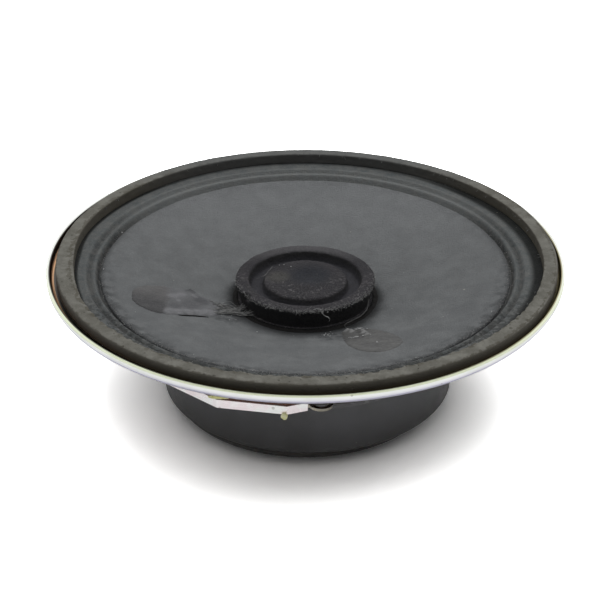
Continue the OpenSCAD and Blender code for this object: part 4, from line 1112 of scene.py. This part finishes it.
def skin(name, outline, thickness, lumps):
    """A skin of adhesive on the cone. lumps are (x, y, radius, height)."""
    outline = smooth_loop(outline)
    xs, ys = [p[0] for p in outline], [p[1] for p in outline]
    width, depth = max(xs) - min(xs) + 0.6, max(ys) - min(ys) + 0.6
    middle = ((max(xs) + min(xs)) / 2, (max(ys) + min(ys)) / 2)
    obj = fresh(bpy.ops.mesh.primitive_grid_add, name, x_subdivisions=round(width / SKIN_STEP),
        y_subdivisions=round(depth / SKIN_STEP), size=MM, location=(0, 0, 0))
    bpy.ops.object.mode_set(mode="EDIT")
    bpy.ops.mesh.select_all(action="DESELECT")
    bpy.ops.object.mode_set(mode="OBJECT")
    for vertex in obj.data.vertices:
        x, y = middle[0] + vertex.co.x / MM * width, middle[1] + vertex.co.y / MM * depth
        wobble = 0.12 * noise.noise(Vector((x, y, 0)) * 1.7)
        inward = side_of(outline, x, y) + wobble
        vertex.select = inward < -0.14
        edge = min(1, max(0, inward / 0.55))
        height = thickness * math.sqrt(1 - (1 - edge) ** 2) if inward > 0 else -0.05
        height += 0.03 * edge * noise.noise(Vector((x, y, 3)) * 1.1)
        for lx, ly, reach, rise in lumps:
            height += rise * edge * math.exp(-((x - lx) ** 2 + (y - ly) ** 2) / reach ** 2)
        vertex.co = Vector((x, y, z_under(x, y) + 0.03 + height)) * MM
    bpy.ops.object.mode_set(mode="EDIT")
    bpy.ops.mesh.delete(type="VERT")
    bpy.ops.object.mode_set(mode="OBJECT")
    wall = obj.modifiers.new("wall", "SOLIDIFY")
    wall.thickness, wall.offset = SKIN_WALL * MM, -1
    bpy.ops.object.modifier_apply(modifier=wall.name)
    bpy.ops.object.shade_smooth_by_angle(angle=math.radians(70))
    print(name, len(obj.data.polygons), "faces")
    return obj


left_outline = [(-18.9, -4.2), (-18.7, -2.9), (-17.5, -1.8), (-15.7, -1.1), (-14.6, -1.2), (-13.3, -0.8),
    (-12.5, -0.5), (-11.7, -1.4), (-10.8, -1.7), (-9.9, -2.5), (-9.4, -3.3), (-9.4, -5.4), (-10, -6.2),
    (-12.1, -6.9), (-13.6, -7.4), (-15.2, -8.0), (-16.3, -7.9), (-17.5, -7.4), (-18.3, -6.7), (-18.8, -5.6)]
left_lumps = [(-12.6, -2.6, 0.9, 0.3), (-12.7, -1.5, 0.4, 0.35), (-13.8, -2.8, 0.6, 0.16), (-14.6, -3.6, 0.6, 0.14),
    (-12.6, -4.2, 1.3, 0.1), (-14.4, -6.9, 0.6, 0.12), (-13.2, -6.6, 0.6, 0.12), (-11.9, -6.2, 0.6, 0.14),
    (-10.7, -5.6, 0.6, 0.14)]
left_skin = skin("left_skin", left_outline, 0.12, left_lumps)
keep(left_skin, dark_adhesive, CONE, ["lead_patch_left", "lead_joints"])

right_outline = [(4.1, -11.6), (4.7, -13.8), (6.2, -15.8), (8.2, -16.3), (9.6, -15.2), (10.25, -13.9), (9.8, -11.8),
    (8.4, -9.75), (7.2, -8.6), (6.2, -8.1), (5.2, -8.1), (4.3, -7.8), (3.9, -8.6), (4.0, -9.8)]
right_lumps = [(7.2, -12.9, 1.6, 0.08), (4.5, -8.3, 0.35, 0.3), (4.9, -8.8, 0.3, 0.28), (5.3, -9.4, 0.3, 0.2),
    (5.9, -8.6, 0.3, 0.34), (6.2, -9.4, 0.28, 0.3), (6.5, -10.2, 0.28, 0.26), (6.75, -10.9, 0.3, 0.2)]
right_skin = skin("right_skin", right_outline, 0.09, right_lumps)
keep(right_skin, adhesive, CONE, ["lead_patch_right", "lead_joints"])

# %% [markdown]
# ## Threads, hairs and wires
#
# The cap's brim is furred, the left adhesive was pulled into strings when the brush came away, and the coil's
# wires run down the cap's wall. Each is a fine tube along a line of points, tapered at its ends. All tubes of one
# kind are one curve object, turned into a mesh. One black thread laid along the left patch's front edge is painted
# shadow, for the shade under that lifted edge.
# Random draws come from one generator with a fixed seed, so that every run gives the same hairs.

# %% Helpers for threads
def threads_along(name, lines, thickness, sides=1):
    """Round threads along lists of points, in millimetres, thin at their ends. thickness is the diameter."""
    curve = bpy.data.curves.new(name, "CURVE")
    curve.dimensions = "3D"
    curve.bevel_depth = thickness / 2 * MM
    curve.bevel_resolution = sides
    curve.use_fill_caps = True
    for points in lines:
        spline = curve.splines.new("POLY")
        spline.points.add(len(points) - 1)
        for i, (at, point) in enumerate(zip(spline.points, points)):
            at.co = (*(Vector(point) * MM), 1)
            end = min(i, len(points) - 1 - i) / max(1, (len(points) - 1) / 2)
            at.radius = 0.45 + 0.55 * min(1, 2 * end)
    obj = bpy.data.objects.new(name, curve)
    scene.collection.objects.link(obj)
    bpy.ops.object.select_all(action="DESELECT")
    obj.select_set(True)
    bpy.context.view_layer.objects.active = obj
    bpy.ops.object.convert(target="MESH")
    bpy.ops.object.shade_smooth()
    print(name, len(lines), "threads,", len(obj.data.polygons), "faces")
    return obj


def smooth_line(points, per_piece=6):
    """A smooth curve that passes through every point."""
    points = [Vector(p) for p in points]
    line = []
    for i in range(len(points) - 1):
        a, b, c, d = points[max(i - 1, 0)], points[i], points[i + 1], points[min(i + 2, len(points) - 1)]
        for k in range(per_piece):
            t = k / per_piece
            line.append(0.5 * (2 * b + (c - a) * t + (2 * a - 5 * b + 4 * c - d) * t * t
                + (3 * b - a - 3 * c + d) * t ** 3))
    return line + [points[-1]]


def hair(start, heading, reach, curl, draw, count=5):
    """A short hair that wanders as it grows."""
    points, at, way = [Vector(start)], Vector(start), Vector(heading).normalized()
    for _ in range(count):
        bend = Vector((draw.uniform(-1, 1), draw.uniform(-1, 1), draw.uniform(-1, 1)))
        way = (way + curl * bend).normalized()
        at = at + way * reach / count
        points.append(at)
    return points


draw = random.Random(11)
print("helpers for threads ready")

# %% The cap's fur
BRIM_HAIRS, DISC_HAIRS, DISC_STRANDS, PALE_HAIRS = 900, 260, 7, 34
fur = []
for _ in range(BRIM_HAIRS):
    angle = math.radians(draw.gauss(-80, 50))
    out = Vector((*on_circle(1, angle), 0))
    side = Vector((-out.y, out.x, 0))
    r = BRIM_R - abs(draw.gauss(0.05, 0.22))
    start = out * r + Vector((0, 0, Z_BRIM - (draw.uniform(0.0, 0.2) if r > BRIM_R - 0.15 else 0.0)))
    way = out * draw.uniform(-0.8, 0.8) + side * draw.uniform(-1.2, 1.2) + Vector((0, 0, draw.uniform(-0.45, 0.5)))
    fur.append(hair(start, way, draw.uniform(0.1, 0.42), 0.7, draw, 4))
cap_fur = threads_along("cap_fur", fur, 0.03, 0)
keep(cap_fur, fluff, CONE)

disc_fur = []
for _ in range(DISC_HAIRS):
    angle = math.radians(draw.gauss(-88, 50))
    r = draw.triangular(1.2, DISC_R + 0.1, DISC_R - 0.5)
    start = Vector((*on_circle(r, angle), Z_DISC + 0.01))
    turn = draw.uniform(0, 2 * math.pi)
    disc_fur.append(hair(start, (math.cos(turn), math.sin(turn), 0.1), draw.uniform(0.15, 0.45), 0.7, draw, 4))
strand = [(-5.35, 0.45, 13.75), (-4.6, 0.75, 13.92), (-4.1, 1.8, 13.97), (-3.6, 3.0, 13.97)]
for _ in range(DISC_STRANDS):
    astray = [Vector(p) + Vector((draw.uniform(-0.1, 0.1), draw.uniform(-0.1, 0.1), 0)) for p in strand]
    disc_fur.append(smooth_line(astray))
disc_fluff = threads_along("disc_fluff", disc_fur, 0.035, 0)
keep(disc_fluff, cap_fluff, CONE)

pale_hairs = []
for _ in range(PALE_HAIRS):
    angle = math.radians(draw.gauss(-68, 34))
    out = Vector((*on_circle(1, angle), 0))
    start = out * (BRIM_R - draw.uniform(-0.02, 0.15)) + Vector((0, 0, Z_BRIM - draw.uniform(0.0, 0.25)))
    pale_hairs.append(hair(start, (draw.uniform(-1, 1), draw.uniform(-1, 0.3), draw.uniform(-0.6, 0.6)),
        draw.uniform(0.1, 0.3), 0.6, draw, 4))
pale_fur = threads_along("pale_fur", pale_hairs, 0.055, 0)
keep(pale_fur, torn_skin, CONE)

curl = smooth_line([(1.2, -7.7, 14.5), (1.5, -7.85, 14.55), (1.91, -7.95, 13.95), (2.21, -8.0, 13.74),
    (2.44, -8.0, 13.62), (2.62, -8.0, 13.35), (2.5, -8.05, 13.1)])
loose = smooth_line([(0.9, -7.5, 14.28), (1.2, -7.65, 14.5), (1.45, -7.6, 14.4), (1.75, -7.45, 14.25)])
cap_curl = threads_along("cap_curl", [curl, loose], 0.085)
keep(cap_curl, torn_skin, CONE)

# %% Strings of adhesive
STRING_END_R, SAG = 7.3, 0.9
FINE_STRINGS, ROOT_STRINGS = 30, 4
fine, strong = [], []
for _ in range(FINE_STRINGS):
    y0 = draw.uniform(-5.6, -2.2)
    start = Vector((draw.uniform(-11.0, -9.0), y0, 0))
    angle = math.radians(draw.uniform(201, 222))
    end = Vector((*on_circle(STRING_END_R, angle), 0))
    bow = draw.uniform(-0.5, 0.5)
    middle = start.lerp(end, 0.5) + Vector((0, bow, 0))
    row = []
    for at, lift in ((start, 0.12), (start.lerp(middle, 0.5), 0.2), (middle, draw.uniform(0.12, 0.5)),
            (middle.lerp(end, 0.5), draw.uniform(0.12, 0.4)), (end, draw.uniform(0.4, 1.1))):
        row.append(Vector((at.x, at.y, z_under(at.x, at.y) + lift)))
    fine.append(smooth_line(row))
for (ax, ay), (bx, by) in (((-9.3, -3.0), (-5.6, -2.4)), ((-9.6, -3.9), (-6.3, -3.4))):
    for _ in range(ROOT_STRINGS):
        row = []
        for share in (0, 0.25, 0.5, 0.75, 1):
            x = ax + (bx - ax) * share + draw.uniform(-0.2, 0.2)
            y = ay + (by - ay) * share - SAG * math.sin(math.pi * share) + draw.uniform(-0.25, 0.25)
            row.append((x, y, z_under(x, y) + 0.1 + max(0, 8.2 - math.hypot(x, y)) * 0.4 * draw.random()))
        strong.append(smooth_line(row))
keep(threads_along("glue_strings", strong, 0.075), torn_skin, CONE)
keep(threads_along("glue_threads", fine, 0.055), fluff, CONE)

# Painted shadow: a black thread along the left skin's lower edge, for the shade under that lifted edge.
edge_shadow_path = [(x, y, z_under(x, y) + 0.03)
    for x, y in ((-13.7, -7.5), (-12.9, -7.3), (-12.1, -7.0), (-11.3, -6.8), (-10.5, -6.6))]
shadow_line = threads_along("shadow_line", [smooth_line(edge_shadow_path)], 0.15)
keep(shadow_line, black_glue, CONE)

# %% The coil's wires
WIRE_D, RIGHT_WIRE_D = 0.2, 0.18
right_wire = smooth_line([(6.9, -1.7, 13.6), (6.95, -2.6, 12.95), (6.78, -3.7, 12.3), (6.4, -4.4, 12.08),
    (5.9, -5.1, 12.02), (5.15, -5.7, 11.93), (4.5, -6.2, 11.82), (4.25, -6.7, 11.8), (4.6, -7.6, 11.8)])
coil_wire_right = threads_along("coil_wire_right", [right_wire], RIGHT_WIRE_D)
keep(coil_wire_right, wire_grey, CONE, ["coil_lead_right"])
left_wire = smooth_line([(-6.6, -3.2, 12.5), (-7.2, -3.3, 12.1), (-7.8, -3.35, 12.0), (-9.0, -3.2, 12.25),
    (-10.2, -3.2, 12.55)])
coil_wire_left = threads_along("coil_wire_left", [left_wire], WIRE_D)
keep(coil_wire_left, wire_grey, CONE, ["coil_lead_left"])

# %% [markdown]
# ## The flexible leads
#
# Under the cone, two leads of twisted tinsel hang in a slack curve from the joints to the lugs. Three strands run
# round each other along the route. Its ends belong to different bodies.

# %% The flexible leads
TAB_ANGLE = math.radians(-104)
OUT = Vector((*on_circle(1, TAB_ANGLE), 0))
ALONG = Vector((-OUT.y, OUT.x, 0))
TAB_REACH, LUG_REACH, LUG_TOP, BEAD_X = 22.75, 20.45, 12.65, 4.375
TAB_TWIST = math.radians(3.5)


def at_tab(x, y, z):
    """A point on the terminal tab: x along its front edge, y outwards from the axis. The tab is turned a little."""
    back = y - TAB_REACH
    return (ALONG * (x * math.cos(TAB_TWIST) + back * math.sin(TAB_TWIST))
        + OUT * (TAB_REACH - x * math.sin(TAB_TWIST) + back * math.cos(TAB_TWIST)) + Vector((0, 0, z)))


LEAD_END = LUG_TOP + 0.82
ROUTES = {
    "left": [(-12.6, -2.6, 12.95), (-12.6, -2.6, 12.3), (-12.7, -6.2, 11.9), (-12.2, -11.2, 12),
        (-11, -15.6, 12.7), at_tab(-BEAD_X, LUG_REACH, LEAD_END)],
    "right": [(5.6, -10.5, 12.65), (5.6, -10.5, 12.1), (5.8, -12.4, 12), (4.9, -15.2, 12), (2.6, -18, 12.7),
        at_tab(BEAD_X, LUG_REACH, LEAD_END)],
}
TINSEL_D = 0.6
LAY = 2.2


def twisted(route, strand_count=3):
    """The centre lines of strands that wind round a route, one turn for each length of lay."""
    line = spaced(smooth_line(route, 8), 0.22)
    strands, travelled = [[] for _ in range(strand_count)], 0.0
    for i, at in enumerate(line):
        along = (line[min(i + 1, len(line) - 1)] - line[max(i - 1, 0)]).normalized()
        side = along.cross(Vector((0.3, 0.2, 1))).normalized()
        other = along.cross(side)
        for k, strand in enumerate(strands):
            angle = 2 * math.pi * (travelled / LAY + k / strand_count)
            strand.append(at + TINSEL_D * 0.25 * (math.cos(angle) * side + math.sin(angle) * other))
        travelled += (line[min(i + 1, len(line) - 1)] - at).length
    return strands


for side, route in ROUTES.items():
    lead = threads_along("tinsel_" + side, twisted(route), TINSEL_D * 0.5)
    keep(lead, tinsel, None, ["tinsel_lead_" + side])
    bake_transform(lead)

# %% [markdown]
# ## Solder
#
# A bead of solder holds each lead on its lug. Flux resin, a clear pale yellow, has run over the tab's edge and dried.
# A ball is flattened on its seat, stretched and shaken a little, which is how cooled solder looks.

# %% Solder
def blob(name, centre, size, sink):
    """A drop of solder. size is its three diameters, sink the share of it below its seat that is cut off."""
    obj = fresh(bpy.ops.mesh.primitive_uv_sphere_add, name, segments=40, ring_count=24, radius=0.5, location=(0, 0, 0))
    for vertex in obj.data.vertices:
        p = vertex.co
        p.z = max(p.z, -0.5 + sink)
        shaken = 1 + 0.16 * noise.noise(p * 3.1 + Vector(centre))
        vertex.co = (Vector(centre) + Vector((p.x * size[0], p.y * size[1], p.z * size[2])) * shaken) * MM
    bpy.ops.object.shade_smooth()
    return obj


drops = []
for k, side in enumerate((-1, 1)):
    drops.append(blob("bead_%d" % k, at_tab(side * BEAD_X, LUG_REACH, LUG_TOP + 0.16), (1.35, 1.25, 1.0), 0.32))
bpy.ops.object.select_all(action="DESELECT")
for drop in drops:
    drop.select_set(True)
bpy.context.view_layer.objects.active = drops[0]
bpy.ops.object.join()
drops[0].name = drops[0].data.name = "solder_beads"
keep(drops[0], solder, FRAME, ["solder_joints"])
print("solder", len(drops[0].data.polygons), "faces")

drip = blob("flux_drip", at_tab(3.4, TAB_REACH + 0.1, 10.55), (0.68, 0.55, 0.8), 0.02)
keep(drip, flux_resin, FRAME)
smear = blob("flux_smear", at_tab(-3.2, TAB_REACH - 0.15, 11.95), (2.7, 0.3, 0.5), 0.02)
keep(smear, flux_resin, FRAME)

# %% [markdown]
# ## Dust and crumbs
#
# A used driver carries lint and crumbs of paper. They are small on the whole, but the eye reads them as real: a
# few on the cone, more along the gasket's torn edge, and flakes round the adhesive. A crumb is a small ball with
# few faces, shaken out of shape and flattened. A nap of short hairs stands along the cone's edge, and fibres hang
# from the gasket's inner edge.

# %% Dust and crumbs
def crumbs(name, places, material, body):
    """Small irregular flakes at (x, y, z, size), joined into one piece."""
    bpy.ops.object.select_all(action="DESELECT")
    made = []
    for x, y, z, size in places:
        bpy.ops.mesh.primitive_ico_sphere_add(subdivisions=1, radius=size / 2 * MM, location=(x * MM, y * MM, z * MM))
        crumb = bpy.context.object
        for vertex in crumb.data.vertices:
            vertex.co *= draw.uniform(0.55, 1.2)
            vertex.co.z *= 0.6
        made.append(crumb)
    for crumb in made:
        crumb.select_set(True)
    bpy.ops.object.join()
    obj = bpy.context.object
    bpy.ops.object.transform_apply(location=True, rotation=True, scale=True)
    obj.name = obj.data.name = name
    keep(obj, material, body)
    print(name, len(places), "crumbs")
    return obj


def on_cone(x, y, size, lift=0.0):
    """Place and size of a crumb on the cone."""
    return (x, y, z_under(x, y) + size * 0.25 + lift, size)


# %% Crumbs on the cone
LYING = [(-12.8, -1.2, 0.2), (-12.5, -2.0, 0.18), (6.6, -8.9, 0.2, 0.2), (6.1, -10.9, 0.2, 0.2),
    (7.48, -13.84, 0.26, 0.3), (2.4, -9.3, 0.22), (2.0, -9.1, 0.2), (-5.2, -8.9, 0.2), (-20.99, 8.44, 0.24),
    (-22.3, -0.19, 0.2)]
RIGHT_FOOT, RIGHT_RIDGE, BY_STRINGS, BY_EDGE, BY_CURL, ALL_OVER = 26, 18, 30, 60, 14, 16
pips = [on_cone(*crumb) for crumb in LYING]
pips += [(-2.39, 3.31, 13.98, 0.24), (-1.59, 2.83, 13.98, 0.2), (-2.9, 3.2, 13.98, 0.16)]
for _ in range(RIGHT_FOOT):
    pips.append(on_cone(draw.gauss(5.35, 0.35), draw.gauss(-11.1, 0.12), draw.uniform(0.1, 0.2), 0.15))
for _ in range(RIGHT_RIDGE):
    pips.append(on_cone(draw.gauss(5.8, 0.3), draw.gauss(-8.75, 0.12), draw.uniform(0.1, 0.2), 0.32))
for _ in range(BY_STRINGS):
    pips.append(on_cone(draw.uniform(-9.6, -6.2), draw.gauss(-4.2, 1.0), draw.uniform(0.05, 0.14)))
for _ in range(BY_EDGE):
    angle, r = math.radians(draw.gauss(-55, 45)), draw.gauss(22.3, 0.35)
    pips.append(on_cone(*on_circle(r, angle), draw.uniform(0.05, 0.12)))
for _ in range(BY_CURL):
    pips.append(on_cone(draw.gauss(2.3, 0.4), draw.gauss(-8.9, 0.4), draw.uniform(0.06, 0.18)))
for _ in range(ALL_OVER):
    angle, r = draw.uniform(0, 2 * math.pi), draw.uniform(9, 21.5)
    pips.append(on_cone(*on_circle(r, angle), draw.uniform(0.06, 0.13)))
crumbs("cone_crumbs", pips, torn_skin, CONE)

# %% Nap and fibres
NAP_HAIRS, GASKET_BITS, GASKET_HAIRS, GASKET_STEP = 700, 90, 110, 25.9
nap = []
for _ in range(NAP_HAIRS):
    angle = math.radians(draw.gauss(-80, 62))
    r = draw.gauss(22.45, 0.16)
    start = Vector((*on_circle(r, angle), z_cone(min(r, CONE_R)) + 0.02))
    nap.append(hair(start, (draw.uniform(-1, 1), draw.uniform(-1, 1), draw.uniform(-0.2, 0.7)),
        draw.uniform(0.1, 0.4), 0.6, draw, 4))
cone_nap = threads_along("cone_nap", nap, 0.03, 0)
keep(cone_nap, fluff, CONE)

bits = []
for _ in range(GASKET_BITS):
    angle = math.radians(draw.gauss(-90, 55))
    r = draw.choice([draw.uniform(25.2, GASKET_STEP), draw.uniform(GASKET_STEP, 27.3)])
    z = GASKET_HIGH if r > GASKET_STEP else LANDING[1]
    bits.append((*on_circle(r, angle), z + 0.02, draw.uniform(0.06, 0.2)))
crumbs("gasket_crumbs", bits, board, FRAME)

wisps = []
for _ in range(GASKET_HAIRS):
    angle = math.radians(draw.uniform(-180, 180) if draw.random() < 0.5 else draw.gauss(-90, 40))
    out = Vector((*on_circle(1, angle), 0))
    start = out * (GASKET_IN + draw.uniform(-0.02, 0.1)) + Vector((0, 0, GASKET_HIGH - draw.uniform(0.0, 0.2)))
    wisps.append(hair(start, -out * draw.uniform(0, 1) + Vector((0, 0, draw.uniform(-0.8, 0.3))),
        draw.uniform(0.15, 0.5), 0.5, draw))
gasket_fur = threads_along("gasket_fur", wisps, 0.035, 0)
keep(gasket_fur, fluff, FRAME)
